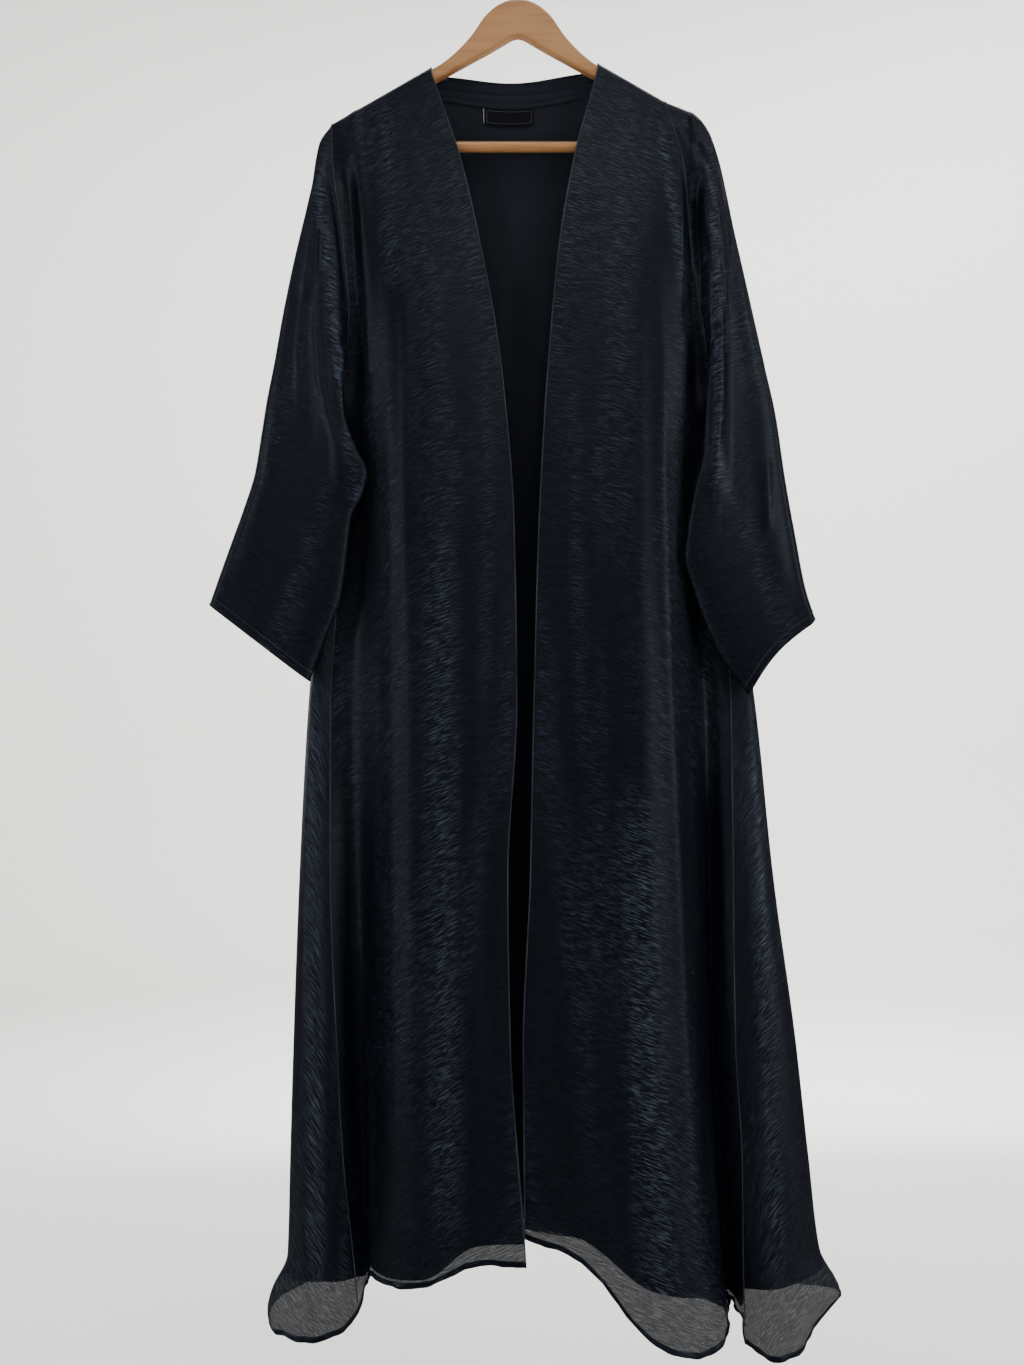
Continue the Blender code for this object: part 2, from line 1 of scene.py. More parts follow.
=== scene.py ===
"""Looks of an open-front abaya cloak that hangs on a wooden trouser-bar hanger.

Left and right are the wearer's: the wearer's left is at +X, the front faces -Y.  The cloth is
worked out in millimetres from the fold lines of the CAD model, and made in metres.
"""
import math

import bmesh
import bpy
import numpy as np
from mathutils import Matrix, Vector


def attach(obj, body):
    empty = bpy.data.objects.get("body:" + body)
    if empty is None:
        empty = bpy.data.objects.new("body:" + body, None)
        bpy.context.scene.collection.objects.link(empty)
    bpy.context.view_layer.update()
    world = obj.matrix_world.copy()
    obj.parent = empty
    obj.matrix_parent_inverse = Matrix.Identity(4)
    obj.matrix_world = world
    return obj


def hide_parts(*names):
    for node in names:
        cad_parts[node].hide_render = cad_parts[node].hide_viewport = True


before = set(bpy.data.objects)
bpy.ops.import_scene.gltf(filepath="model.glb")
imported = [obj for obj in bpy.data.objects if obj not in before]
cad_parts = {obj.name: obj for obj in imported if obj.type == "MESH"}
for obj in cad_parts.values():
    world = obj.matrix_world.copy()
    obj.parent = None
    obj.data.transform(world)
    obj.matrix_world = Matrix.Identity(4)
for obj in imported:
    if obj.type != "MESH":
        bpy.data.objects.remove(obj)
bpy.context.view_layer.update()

MM = 0.001

# --- Sizes that the cloth shares with the CAD model ---

SHOULDER_ROLL = 8.5
SEAM_ANGLE = 50.0
SHOULDER_HEIGHT = -127.0
SHOULDER_SLOPE = 0.575
NECK_RIGHT = -99.0
NECK_LEFT = 91.0
NECK_DIP = 10.1
NECK_BACK = 6.5
NECK_TURN = 0.15
UNDERARM = -444.0
LAYER = 1.4
EDGE_INSET = 3.0
BEHIND_LINING = 0.3
NECK_BAND = {"height": 30.0, "inset": 0.06, "columns": 90, "rows": 28,
             "crease": 1.1, "crease_width": 9.0, "crease_apart": 6}
LABEL = {"x": (-40.0, 19.0), "height": 20.0, "drop": 0.6, "columns": 40, "rows": 14,
         "frame": ((2, 11), (2, 37)), "frame_behind": 0.7, "frame_size": (0.8, 0.35),
         "end_shift": (-0.6, -0.2, 0.0), "end_size": (1.0, 0.5)}

# A row for each fold line from the shoulder or neckline to the hem: name, x at its top, then x
# and y at each of LEVELS.  A front and the back share the x of their side seam.

LEVELS = (-240, -340, -444, -510, -656, -862, -1055, -1249, -1378, -1490, -1540)

SEAM_RIGHT = (-212, -201, -193, -197, -202, -215, -214, -206, -199, -187, -182)
SEAM_LEFT = (188, 202, 211, 216, 224, 244, 244, 246, 253, 254, 255)

FRONT_RIGHT = (
    ("edge", -99, (-65, -42, -23, -15, -4, -1, -11, -8, 0, 2, 3),
     (-10, -12, -16, -19, -24, -32, -36, -42, -46, -47, -48)),
    ("inner", -123, (-93, -77, -66, -62, -56, -51, -56, -53, -51, -49, -48),
     (-12, -17, -24, -28, -34, -42, -46, -52, -55, -56, -56)),
    ("crest", -148, (-125, -116, -110, -110, -110, -100, -100, -97, -97, -100, -102),
     (-13, -20, -28, -32, -39, -48, -53, -58, -62, -64, -65)),
    ("flank", -170, (-154, -147, -140, -139, -138, -136, -135, -133, -133, -138, -141),
     (-13, -20, -26, -29, -34, -40, -45, -50, -54, -57, -58)),
    ("fold", -189, (-178, -170, -162, -160, -157, -161, -156, -154, -157, -163, -166),
     (-12, -17, -18, -18, -18, -20, -24, -28, -32, -37, -40)),
    ("recess", -203, (-196, -187, -180, -180, -180, -193, -188, -181, -178, -174, -173),
     (-10, -12, -7, 0, 4, -2, 4, 8, 7, 3, 0)),
    ("seam", -213, SEAM_RIGHT, (-9, -9, 0, 5, 5, -3, -12, -16, -16, -17, -18)),
)

BACK = (
    ("seam right", -213, SEAM_RIGHT, (9, 10, 0, 5, 5, -3, -12, -16, -16, -17, -18)),
    ("crest right", -207, (-208, -199, -196.5, -207, -211, -227, -229, -228, -226, -225, -224),
     (10, 15, 9.5, 9, 5, -5, -20, -30, -38, -43, -46)),
    ("side right", -198, (-202, -192, -190, -208, -221, -242, -251, -257, -260, -263, -280),
     (11, 18, 17, 16, 13, 5, -2, -8, -12, -13, -12)),
    ("turn right", -172, (-178, -170, -168, -184, -203, -215, -220, -222, -221, -225, -227),
     (12, 19, 24, 26, 28, 28, 24, 20, 16, 13, 12)),
    ("neck right", -99, (-102, -108, -112, -118, -129, -139, -145, -149, -151, -153, -154),
     (13, 17, 22, 25, 30, 34, 36, 38, 38, 38, 38)),
    ("back right", -58, (-56, -56, -58, -60, -65, -70, -74, -77, -79, -81, -82),
     (16, 17, 18, 20, 24, 28, 28, 26, 24, 23, 22)),
    ("middle", -3, (-3, -2, -2, -2, -2, -2, -2, -2, -2, -2, -2),
     (16, 17, 17, 18, 20, 24, 30, 36, 40, 41, 42)),
    ("back left", 50, (49, 51, 54, 56, 61, 66, 69, 73, 75, 78, 80),
     (16, 17, 18, 20, 24, 28, 28, 26, 24, 23, 22)),
    ("neck left", 91, (95, 103, 110, 115, 125, 135, 145, 152, 157, 161, 164),
     (13, 17, 22, 25, 30, 36, 38, 40, 42, 42, 42)),
    ("turn left", 144, (156, 172, 184, 194, 202, 220, 227, 238, 244, 249, 253),
     (12, 19, 24, 26, 28, 28, 24, 20, 16, 13, 12)),
    ("side left", 156, (176, 192, 208, 224, 243, 274, 293, 319, 333, 347, 366),
     (11, 18, 17, 16, 13, 5, -2, -6, -8, -7, -6)),
    ("crest left", 163, (184, 199, 214, 223, 235, 257, 260, 268, 274, 281, 284),
     (10, 15, 9, 9, 5, -5, -22, -32, -40, -45, -48)),
    ("seam left", 169, SEAM_LEFT, (9, 10, 0, 5, 5, -4, -18, -22, -24, -25, -26)),
)

FRONT_LEFT = (
    ("edge", 91, (63, 46, 36, 31, 23, 17, 13, 5, 6, 7, 8),
     (-10, -12, -16, -19, -24, -30, -34, -36, -38, -39, -40)),
    ("inner", 106, (87, 82, 79, 77, 74, 71, 69, 66, 66, 69, 70),
     (-12, -17, -23, -27, -33, -41, -46, -50, -52, -53, -54)),
    ("crest", 121, (114, 118, 121, 121, 120, 124, 128, 133, 138, 144, 148),
     (-13, -20, -27, -31, -38, -47, -54, -60, -66, -74, -78)),
    ("flank", 135, (139, 149, 156, 157, 159, 167, 175, 183, 189, 194, 197),
     (-13, -19, -24, -28, -34, -40, -46, -52, -58, -68, -72)),
    ("fold", 147, (158, 173, 179, 181, 185, 192, 201, 209, 217, 223, 231),
     (-12, -16, -16, -17, -18, -20, -24, -28, -32, -40, -44)),
    ("recess", 156, (171, 187, 193, 195, 199, 218, 221, 225, 232, 238, 242),
     (-11, -13, -6, 0, 3, 5, 8, 10, 8, 6, 5)),
    ("lip", 163, (180, 195, 203, 206, 213, 233, 234, 238, 246, 250, 252),
     (-10, -11, -3, 3, 4, -2, -10, -12, -12, -12, -12)),
    ("seam", 169, SEAM_LEFT, (-9, -9, 0, 5, 5, -4, -18, -22, -24, -25, -26)),
)

# The hem: places across the panel in fold lines, its height there and how far the lining stops
# above it.
HEMS = {
    "front_right": ((0, 1, 2, 3, 4, 5, 6),
                    (-1487, -1481, -1500, -1503, -1502, -1530, -1553),
                    (26, 22, 9, 9, 10, 13, 40)),
    "front_left": ((0, 1, 2, 3, 4, 5, 6, 7),
                   (-1459, -1477, -1557, -1572, -1560, -1546, -1560, -1583),
                   (15, 26, 58, 64, 28, 8, 12, 62)),
    "back": ((0, 0.4, 1, 1.6, 2, 2.2, 2.5, 3, 4, 5, 6, 7, 8, 9, 10, 10.12, 10.3, 10.5, 11, 12),
             (-1553, -1567, -1570, -1574, -1577, -1549, -1537, -1526, -1502, -1490, -1486, -1490,
              -1504, -1526, -1537, -1552, -1577, -1587, -1590, -1583),
             (40, 56, 66, 66, 64, 50, 50, 54, 44, 20, 14, 20, 44, 56, 42, 54, 72, 78, 78, 62)),
}

# Small sideways shifts of the fold lines near the hem: centre place and reach, top and bottom
# height, height where it is greatest, and how far.
NUDGES = {
    "front_right": ((0, 1.5, -1340, -1620, -1500, 7.4),),
    "front_left": (),
    "back": ((2, 0.8, -1488, -1590, -1524, -6.0), (10, 0.6, -1484, -1580, -1520, 8.0),
             (10.27, 0.4, -1530, -1640, -1574, -29.0)),
}

FRONT_RIGHT_CELLS = (2, 2, 2, 3, 3, 3)
FRONT_LEFT_CELLS = (2, 2, 2, 3, 3, 2, 2)
BACK_CELLS = (2, 3, 3, 2, 3, 2, 2, 3, 2, 3, 3, 2)

# Sleeves: x and z of the outer fold, x and z of the inner fold, y of the outer fold, y of the
# inner fold, half the sleeve's depth, and how far the section's middle is drawn up.
SLEEVE_ROLL = 8.5
ARMHOLE_HALF = 10.0
CAP_SECTIONS = 6

SLEEVE_RIGHT = (
    (-213, -197, -193, -444, 0, 0, ARMHOLE_HALF, 0),
    (-228, -220, -199, -466, 0, -4, 12, 0),
    (-234, -256, -203, -490, 0, -8, 13, 0),
    (-243, -295, -204, -512, 0, -11, 13, 0),
    (-256, -350, -200, -534, -1, -14, 13, 0),
    (-269, -415, -193, -553, -2, -16, 13, 0),
    (-279, -474, -182, -574, -4, -17, 13, 0),
    (-288, -520, -170, -600, -6, -18, 13, 0),
    (-294, -560, -176, -625, -8, -18, 12, 0),
    (-300, -600, -188, -650, -11, -19, 11, 0),
    (-312, -640, -193, -690, -13, -19, 11, 0),
    (-324, -675, -200, -740, -15, -19, 11, 0),
    (-337, -712, -217, -785, -16, -19, 11, 0),
    (-350, -750, -236, -837, -17, -19, 11, 0),
)

SLEEVE_LEFT = (
    (169, -172, 211, -444, 0, 0, ARMHOLE_HALF, 0),
    (187, -179, 216, -463, 0, -4, 12, 0),
    (204, -187, 219, -480, 0, -8, 12, 0),
    (219, -206, 220, -497, 0, -12, 12, 0),
    (238, -272, 218, -514, 0, -15, 12, 0),
    (246, -310, 216, -533, 0, -18, 13, 0),
    (258, -365, 212, -556, -2, -20, 13, 0),
    (270, -420, 206, -585, -4, -22, 13, 0),
    (283, -480, 198, -619, -6, -25, 12, 0),
    (294, -533, 191, -659, -9, -28, 11, 0),
    (304, -605, 187, -696, -12, -29, 11, 0),
    (315, -670, 198, -735, -14, -26, 11, 0),
    (326, -730, 225, -801, -16, -21, 11, 3),
    (337, -766, 261, -852, -17, -19, 11, 8),
)

# --- Fineness of the cloth ---

# Columns to one of a panel's cells, and sections to one row of a sleeve's table.
ACROSS_FINENESS = 5
SLEEVE_FINENESS = 12
FRONT_ROLL_ANGLES = np.linspace(-SEAM_ANGLE, 90, 12)
BACK_ROLL_ANGLES = np.linspace(SEAM_ANGLE, 90, 5)
ARMHOLE_ROWS = 48
ARMHOLE_SHARES = [(1 - math.cos(math.pi * k / ARMHOLE_ROWS)) / 2 for k in range(1, ARMHOLE_ROWS + 1)]
SKIRT_ROWS = 180
HEM_ROWS = 16
RIBBON_SIDES = 10
SOFTEN_TIMES = 3

# --- Curves ---

def curve(knots, values, at):
    """A monotone cubic through values at rising knots; each place may have values of its own."""
    knots, values, at = (np.asarray(a, dtype=float) for a in (knots, values, at))
    wide = (-1,) + (1,) * at.ndim
    if values.ndim == 1:
        values = values.reshape(wide) * np.ones(at.shape)
    step = np.diff(knots)
    before, after = step[:-1].reshape(wide), step[1:].reshape(wide)
    slope = np.diff(values, axis=0) / step.reshape(wide)
    a, b = slope[:-1], slope[1:]
    agree = a * b > 0
    safe_a, safe_b = np.where(agree, a, 1.0), np.where(agree, b, 1.0)
    wa, wb = 2 * after + before, after + 2 * before
    middle = np.where(agree, (wa + wb) / (wa / safe_a + wb / safe_b), 0.0)
    tangent = np.concatenate([slope[:1], middle, slope[-1:]])
    k = np.clip(np.searchsorted(knots, at, side="right") - 1, 0, len(step) - 1)
    h = step[k]
    u = (at - knots[k]) / h

    def pick(array, index):
        return np.take_along_axis(array, index[None], axis=0)[0]

    return ((1 + 2 * u) * (1 - u) ** 2 * pick(values, k) + u * (1 - u) ** 2 * h * pick(tangent, k)
            + u * u * (3 - 2 * u) * pick(values, k + 1) + u * u * (u - 1) * h * pick(tangent, k + 1))


def ease(u):
    u = np.clip(u, 0.0, 1.0)
    return u * u * (3 - 2 * u)


def hump(at, centre, width):
    """1 at centre, falling smoothly to 0 at half a width away."""
    return ease(1 - 2 * np.abs(at - centre) / width)


def steps(count):
    """A column of even shares that ends with 1."""
    return (np.arange(1, count + 1) / count)[:, None]


def unit(vectors):
    return vectors / np.maximum(np.linalg.norm(vectors, axis=-1, keepdims=True), 1e-9)


def arc_length(points, axis):
    """Distance run along one axis of a grid."""
    step = np.linalg.norm(np.diff(points, axis=axis), axis=-1)
    first = np.zeros_like(np.take(step, [0], axis=axis))
    return np.concatenate([first, np.cumsum(step, axis=axis)], axis=axis)


def normals_of(points, outward):
    return outward * unit(np.cross(np.gradient(points, axis=0), np.gradient(points, axis=1)))


# --- The body's surface ---

def ridge(x):
    """Height of the shoulder's line."""
    return SHOULDER_HEIGHT - SHOULDER_SLOPE * (np.abs(x) - NECK_LEFT)


def roll_centre(x):
    """Depth and height of the line that the top of the cloth rolls around."""
    share = (x - NECK_RIGHT) / (NECK_LEFT - NECK_RIGHT)
    on_neck = (share > 0) & (share < 1)
    off_middle = np.abs(2 * share - 1)
    between = (1 - share) * ridge(NECK_RIGHT) + share * ridge(NECK_LEFT)
    dip = NECK_DIP * (1 + np.cos(np.pi * np.clip(off_middle, 0, 1))) / 2
    depth = np.where(on_neck, NECK_BACK * ease((1 - off_middle) / NECK_TURN), 0.0)
    return depth, np.where(on_neck, between - dip, ridge(x)) - SHOULDER_ROLL


def layer_depth(half_depth, share):
    """How far a sleeve's layer stands off from its middle, from the outer to the inner fold."""
    open_depth = SLEEVE_ROLL + (half_depth - SLEEVE_ROLL) * np.sin(np.pi / 2 * share)
    return open_depth * np.sqrt(np.maximum(1 - share ** 6, 0.0))


def spread(cells, fineness):
    """Places across a panel, with each of the CAD's cells split into finer ones."""
    parts = [k + np.arange(n * fineness) / (n * fineness) for k, n in enumerate(cells)]
    return np.concatenate(parts + [[len(cells)]])


class Panel:
    """One panel of the body as a fine grid: rows run down, columns run across."""

    def __init__(self, name, lines, cells, front):
        self.name, self.lines, self.front, self.hem = name, lines, front, HEMS[name]
        self.side = -1 if front else 1
        self.places = spread(cells, ACROSS_FINENESS)
        self.angles = FRONT_ROLL_ANGLES if front else BACK_ROLL_ANGLES
        self.points = self.grid(self.places)

    def tops(self, places):
        """Where the fold lines start, as x."""
        return curve(range(len(self.lines)), [line[1] for line in self.lines], places)

    def at_heights(self, heights, places):
        """Points of the surface at a grid of heights."""
        xs, ys = [], []
        for _, top, x_row, y_row in self.lines:
            depth, base = roll_centre(np.float64(top))
            knots = [-base] + [-level for level in LEVELS]
            start = depth + self.side * SHOULDER_ROLL
            xs.append(curve(knots, [top, *x_row], -heights))
            ys.append(curve(knots, [start, *y_row], -heights))
        at = np.broadcast_to(places, heights.shape)
        count = range(len(self.lines))
        return np.stack([curve(count, xs, at), curve(count, ys, at), heights], axis=-1)

    def roll_row(self, angle, places):
        """A row of points on the roll over the shoulder, at an angle from its top."""
        turn = math.radians(angle)
        x = self.tops(places)
        depth, height = roll_centre(x)
        return np.stack([x, depth + self.side * SHOULDER_ROLL * math.sin(turn),
                         height + SHOULDER_ROLL * math.cos(turn)], axis=-1)

    def round_armhole(self, points, shares, places):
        """Stands the armhole's ends off from its other side, as the sleeve does."""
        last = len(self.lines) - 1
        for end in ([last] if self.front else [0, last]):
            column = -1 if end else 0
            depth = layer_depth(ARMHOLE_HALF, shares)
            shift = np.where(shares < 1, self.side * depth - points[:, column, 1], 0.0)
            near = np.clip(1 - np.abs(places - end) / 2, 0, 1) ** 2
            points[:, :, 1] += shift[:, None] * near[None]
        return points

    def grid(self, places):
        """The roll over the shoulder, the armhole's height, the skirt and the sheer hem."""
        tops = np.array([self.roll_row(angle, places) for angle in self.angles])
        base = tops[-1, :, 2]
        hem = curve(self.hem[0], self.hem[1], places)
        edge = hem + curve(self.hem[0], self.hem[2], places)
        shares = np.array(ARMHOLE_SHARES)
        upper = self.at_heights(base + shares[:, None] * (UNDERARM - base), places)
        upper = self.round_armhole(upper, shares, places)
        skirt = self.at_heights(UNDERARM + steps(SKIRT_ROWS) * (edge - UNDERARM), places)
        band = self.at_heights(edge + steps(HEM_ROWS) * (hem - edge), places)
        return np.concatenate([tops, upper, skirt, band])

    @property
    def underarm_row(self):
        return len(self.angles) - 1 + len(ARMHOLE_SHARES)


# --- Detail of the folds ---

def soften(points, times):
    """Rounds a grid across its columns, with its first and last columns kept."""
    for _ in range(times):
        points[:, 1:-1] = (points[:, :-2] + 2 * points[:, 1:-1] + points[:, 2:]) / 4
    return points


def nudge(panel, points, nudges):
    """Moves the fold lines sideways near the hem."""
    for place, reach, top, bottom, height, shift in nudges:
        z = points[:, :, 2]
        window = np.where(z > height, ease((top - z) / (top - height)),
                          ease((z - bottom) / (height - bottom)))
        points[:, :, 0] += shift * window * ease(1 - np.abs(panel.places - place) / reach)[None]
    return points


def fold_height(panel, heights, folds):
    """Millimetres to stand out of the panel: soft ridges, and troughs where out is negative."""
    places = panel.places[None]
    total = np.zeros(heights.shape)
    for start, end, top, bottom, width, out in folds:
        down = np.clip((top - heights) / (top - bottom), 0, 1)
        centre = start + (end - start) * down
        along = ease(down / FOLD_FADE) * ease((1 - down) / FOLD_FADE)
        total += out * along * hump(places, centre, width)
    return total


def flutter(across, share):
    """The sheer hem's small waves, which grow from the lining's edge down."""
    inside = ease(np.minimum(across, across[:, -1:] - across) / HEM_WAVES["still"])
    waves = 0.0
    for size, length, phase in HEM_WAVES["waves"]:
        waves = waves + size * np.sin(2 * np.pi * across / length + phase)
    return waves * inside * share ** HEM_WAVES["growth"]


# Height, length and phase of each wave, in millimetres and radians.
HEM_WAVES = {"still": 12.0, "growth": 1.5,
             "waves": ((1.5, 63.0, 0.4), (0.9, 29.0, 2.1), (0.5, 17.0, 4.0))}

# The share of its length over which a fold, or a ridge along a path, rises at each end, and how
# steeply a path's ridge fades where the cloth turns to the side.
FOLD_FADE = 0.25
PATH_FADE = 0.2
FACING = 1.6

# Soft folds of each panel: place across at its top and bottom end, height of those ends, width
# in places, and how far it stands out.
FOLDS = {
    "front_right": (
        (1.6, 1.7, -300, -1470, 0.9, 1.6),
        (2.5, 2.6, -200, -1490, 0.8, 1.5),
        (0.6, 0.5, -700, -1440, 0.7, -1.2),
    ),
    "front_left": (
        (0.6, 0.7, -700, -1440, 0.6, 1.3),
        (1.5, 1.4, -500, -1460, 0.7, -1.4),
        (2.4, 2.2, -250, -1530, 0.9, 1.6),
        (3.2, 3.1, -300, -1540, 0.7, 1.3),
    ),
    "back": (
        (1.4, 1.5, -600, -1540, 0.7, 1.2),
        (3.6, 3.1, -360, -1530, 0.8, 3.2),
        (5.0, 4.7, -240, -1500, 0.8, -2.6),
        (6.0, 6.1, -200, -1490, 0.7, 2.4),
        (7.2, 7.5, -260, -1500, 0.9, -2.8),
        (8.4, 8.8, -380, -1520, 0.8, 3.4),
        (9.6, 9.8, -700, -1540, 0.8, -1.6),
        (10.6, 10.5, -700, -1540, 0.7, 1.4),
    ),
}

# Ridges and troughs that follow a path down the front: heights, x at those heights, width and
# how far out, in millimetres.
BODY_PATHS = {
    "front_right": (
        ((-226, -271, -385, -444, -540), (-203, -197, -190, -185, -181), 34, -10.5),
        ((-150, -230, -330, -440), (-190, -184, -172, -166), 22, 1.2),
    ),
    "front_left": (
        ((-226, -300, -403, -444, -540), (201, 202, 201, 200, 198), 32, -11.0),
        ((-185, -230, -280, -330), (172, 179, 185, 188), 12, 2.0),
    ),
    "back": (),
}
SLEEVE_PATHS = {
    "right": (
        ((-222, -243, -328, -385, -470, -555), (-226, -223, -214, -212, -208, -197), 36, 6.0),
        ((-380, -480, -590), (-244, -240, -232), 26, -1.6),
        ((-300, -450, -620), (-262, -274, -286), 30, 1.2),
    ),
    "left": (
        ((-205, -282, -373, -433, -524, -605, -663), (217, 221, 225, 224, 223, 223, 226), 40, 6.0),
        ((-232, -300, -403, -493, -570), (206, 204, 203, 202, 200), 22, -8.0),
        ((-180, -215, -262), (198, 201, 201), 14, 2.4),
        ((-575, -620, -673), (279, 280, 281), 20, 2.2),
    ),
}

# Painted highlight: where the crinkle's strokes are drawn lighter as if they caught the light, given as
# the paths are: heights, x, width and how much.
PAINTED_HIGHLIGHT_PATHS = {
    "front_right": (
        ((-560, -900, -1200, -1540), (-90, -86, -82, -78), 70, 0.75),
        ((-140, -240, -420), (-152, -150, -136), 46, 0.6),
        ((-420, -640, -900), (-38, -34, -40), 30, 0.4),
    ),
    "front_left": (
        ((-165, -208, -288, -356, -436, -520), (155, 162, 175, 186, 194, 188), 26, 1.0),
        ((-130, -200, -420), (118, 122, 120), 64, 0.42),
        ((-900, -1250, -1352, -1506, -1600), (128, 140, 148, 154, 154), 84, 0.85),
        ((-420, -700, -1000), (60, 66, 76), 34, 0.35),
    ),
    "back": (
        ((-760, -1100, -1310, -1600), (-236, -232, -228, -226), 40, 1.0),
        ((-980, -1200, -1600), (-196, -196, -196), 22, 0.6),
        ((-760, -1100, -1300, -1600), (270, 276, 282, 290), 44, 0.75),
    ),
    "sleeve_right": (
        ((-215, -254, -352, -433, -490, -594), (-232, -230, -216, -209, -200, -180), 26, 1.0),
        ((-520, -600, -720), (-196, -186, -176), 30, 0.6),
    ),
    "sleeve_left": (
        ((-180, -282, -373, -433, -524, -605, -690), (216, 221, 225, 225, 224, 224, 227), 22, 1.0),
    ),
}


def path_lift(points, normals, paths):
    """Millimetres to stand out along ridges and troughs that follow a path on the front side."""
    x, z = points[..., 0], points[..., 2]
    facing = np.clip(-FACING * normals[..., 1], 0, 1)
    total = np.zeros(x.shape)
    for heights, places, width, out in paths:
        top, bottom = heights[0], heights[-1]
        centre = curve([-h for h in heights], places, -np.clip(z, bottom, top))
        down = np.clip((top - z) / (top - bottom), 0, 1)
        along = ease(down / PATH_FADE) * ease((1 - down) / PATH_FADE)
        total += out * along * hump(x, centre, width)
    return total * facing


PANELS = {
    "front_right": Panel("front_right", FRONT_RIGHT, FRONT_RIGHT_CELLS, True),
    "front_left": Panel("front_left", FRONT_LEFT, FRONT_LEFT_CELLS, True),
    "back": Panel("back", BACK, BACK_CELLS, False),
}
OUTWARD = {"front_right": -1, "front_left": 1, "back": -1}
BACK_COLUMN = {"front_right": 0, "front_left": -1}

# Just below the underarm: heights where the shift starts, is full, starts to fade and ends, and
# how far from the middle it reaches on the body (from, over) and on the sleeve (to, over).
GUSSET = {"body": (-396, -470, -500, -600), "sleeve": (-444, -470, -500, -600),
          "body_near": (150, 45), "sleeve_near": (240, 35), "smooth_reach": 60, "smooth_times": 12}
BODY_TOWARD_SLEEVE, SLEEVE_TOWARD_BODY = 8.0, 5.0


def close_underarm(points, shift):
    """Moves cloth sideways just below the underarm, so that sleeve and body lie side by side."""
    top, full, end, bottom = GUSSET["body" if shift > 0 else "sleeve"]
    z = points[..., 2]
    window = ease((top - z) / (top - full)) * ease((z - bottom) / (end - bottom))
    place, over = GUSSET["body_near" if shift > 0 else "sleeve_near"]
    past = np.abs(points[..., 0]) - place
    near = ease((past if shift > 0 else -past) / over)
    moved = points.copy()
    moved[..., 0] += np.sign(points[..., 0]) * shift * window * near
    return moved


def smooth_underarm(points):
    """Smooths the columns down across the height of the underarm, and leaves the rest."""
    near = ease(1 - np.abs(points[:, :, 2] - UNDERARM) / GUSSET["smooth_reach"])[:, :, None]
    for _ in range(GUSSET["smooth_times"]):
        smooth = points.copy()
        smooth[1:-1] = (points[:-2] + 2 * points[1:-1] + points[2:]) / 4
        points = points + (smooth - points) * near
    return points


def dress_panels():
    """Adds the small folds and meets the panels at their seams; returns their normals."""
    for name, panel in PANELS.items():
        points = soften(nudge(panel, panel.points, NUDGES[name]), SOFTEN_TIMES)
        out = normals_of(points, OUTWARD[name])
        lift = fold_height(panel, points[:, :, 2], FOLDS[name])
        lift += path_lift(points, out, BODY_PATHS[name])
        share = np.zeros((len(points), 1))
        share[-HEM_ROWS:] = steps(HEM_ROWS)
        lift += flutter(arc_length(points, 1), share)
        points = close_underarm(points + out * lift[:, :, None], BODY_TOWARD_SLEEVE)
        panel.points = smooth_underarm(points)
    join_seams({name: panel.points for name, panel in PANELS.items()}, lambda a, b: (a + b) / 2)
    normals = {name: normals_of(panel.points, OUTWARD[name]) for name, panel in PANELS.items()}
    join_seams(normals, lambda a, b: unit(a + b))
    return normals


def join_seams(grids, blend):
    """Gives each front and the back the same values along their side seam, below the sleeve."""
    back_row = PANELS["back"].underarm_row
    for name, column in BACK_COLUMN.items():
        front_row = PANELS[name].underarm_row
        shared = blend(grids[name][front_row:, -1], grids["back"][back_row:, column])
        grids[name][front_row:, -1] = shared
        grids["back"][back_row:, column] = shared


# --- Meshes ---

def add_object(name, data):
    placed = bpy.data.objects.new(name, data)
    bpy.context.collection.objects.link(placed)
    return placed


def quads(rows, columns, wrap_rows=False, wrap_columns=False):
    """The faces of a grid of points, which may close on itself either way."""
    faces = []
    for i in range(rows if wrap_rows else rows - 1):
        for j in range(columns if wrap_columns else columns - 1):
            m, k = (i + 1) % rows, (j + 1) % columns
            faces.append((i * columns + j, m * columns + j, m * columns + k, i * columns + k))
    return faces


def new_mesh(name, points, faces, *materials):
    mesh = bpy.data.meshes.new(name)
    mesh.from_pydata(points, [], faces)
    for material in materials:
        mesh.materials.append(material)
    return mesh


def in_metres(points):
    return (points.reshape(-1, 3) * MM).tolist()


def grid_mesh(name, points, uv, materials, slots=None, closed=False, painted_highlight=None):
    """A sheet through a grid of points in millimetres, with UVs in metres of cloth.

    Painted highlight, from 0 to 1, marks where the crinkle is drawn lighter as if it caught the light,
    in a UV map of its own."""
    rows, columns = points.shape[:2]
    faces = quads(rows, columns, wrap_columns=closed)
    mesh = new_mesh(name, in_metres(points), faces, *materials)
    i, j = np.divmod(np.arange(len(faces)), columns if closed else columns - 1)
    if slots is not None:
        mesh.polygons.foreach_set("material_index", np.array(slots)[i].tolist())
    rows_at = np.stack([i, i + 1, i + 1, i], axis=1).reshape(-1)
    columns_at = np.stack([j, j, j + 1, j + 1], axis=1).reshape(-1)
    layer = mesh.uv_layers.new(name="Cloth")
    layer.data.foreach_set("uv", (uv[rows_at, columns_at] * MM).reshape(-1))
    if painted_highlight is not None:
        highlight_marks = np.zeros((len(rows_at), 2))
        highlight_marks[:, 0] = np.clip(painted_highlight[rows_at, columns_at % painted_highlight.shape[1]], 0, 1)
        mesh.uv_layers.new(name="Shine").data.foreach_set("uv", highlight_marks.reshape(-1))
    mesh.shade_smooth()
    return add_object(name, mesh)


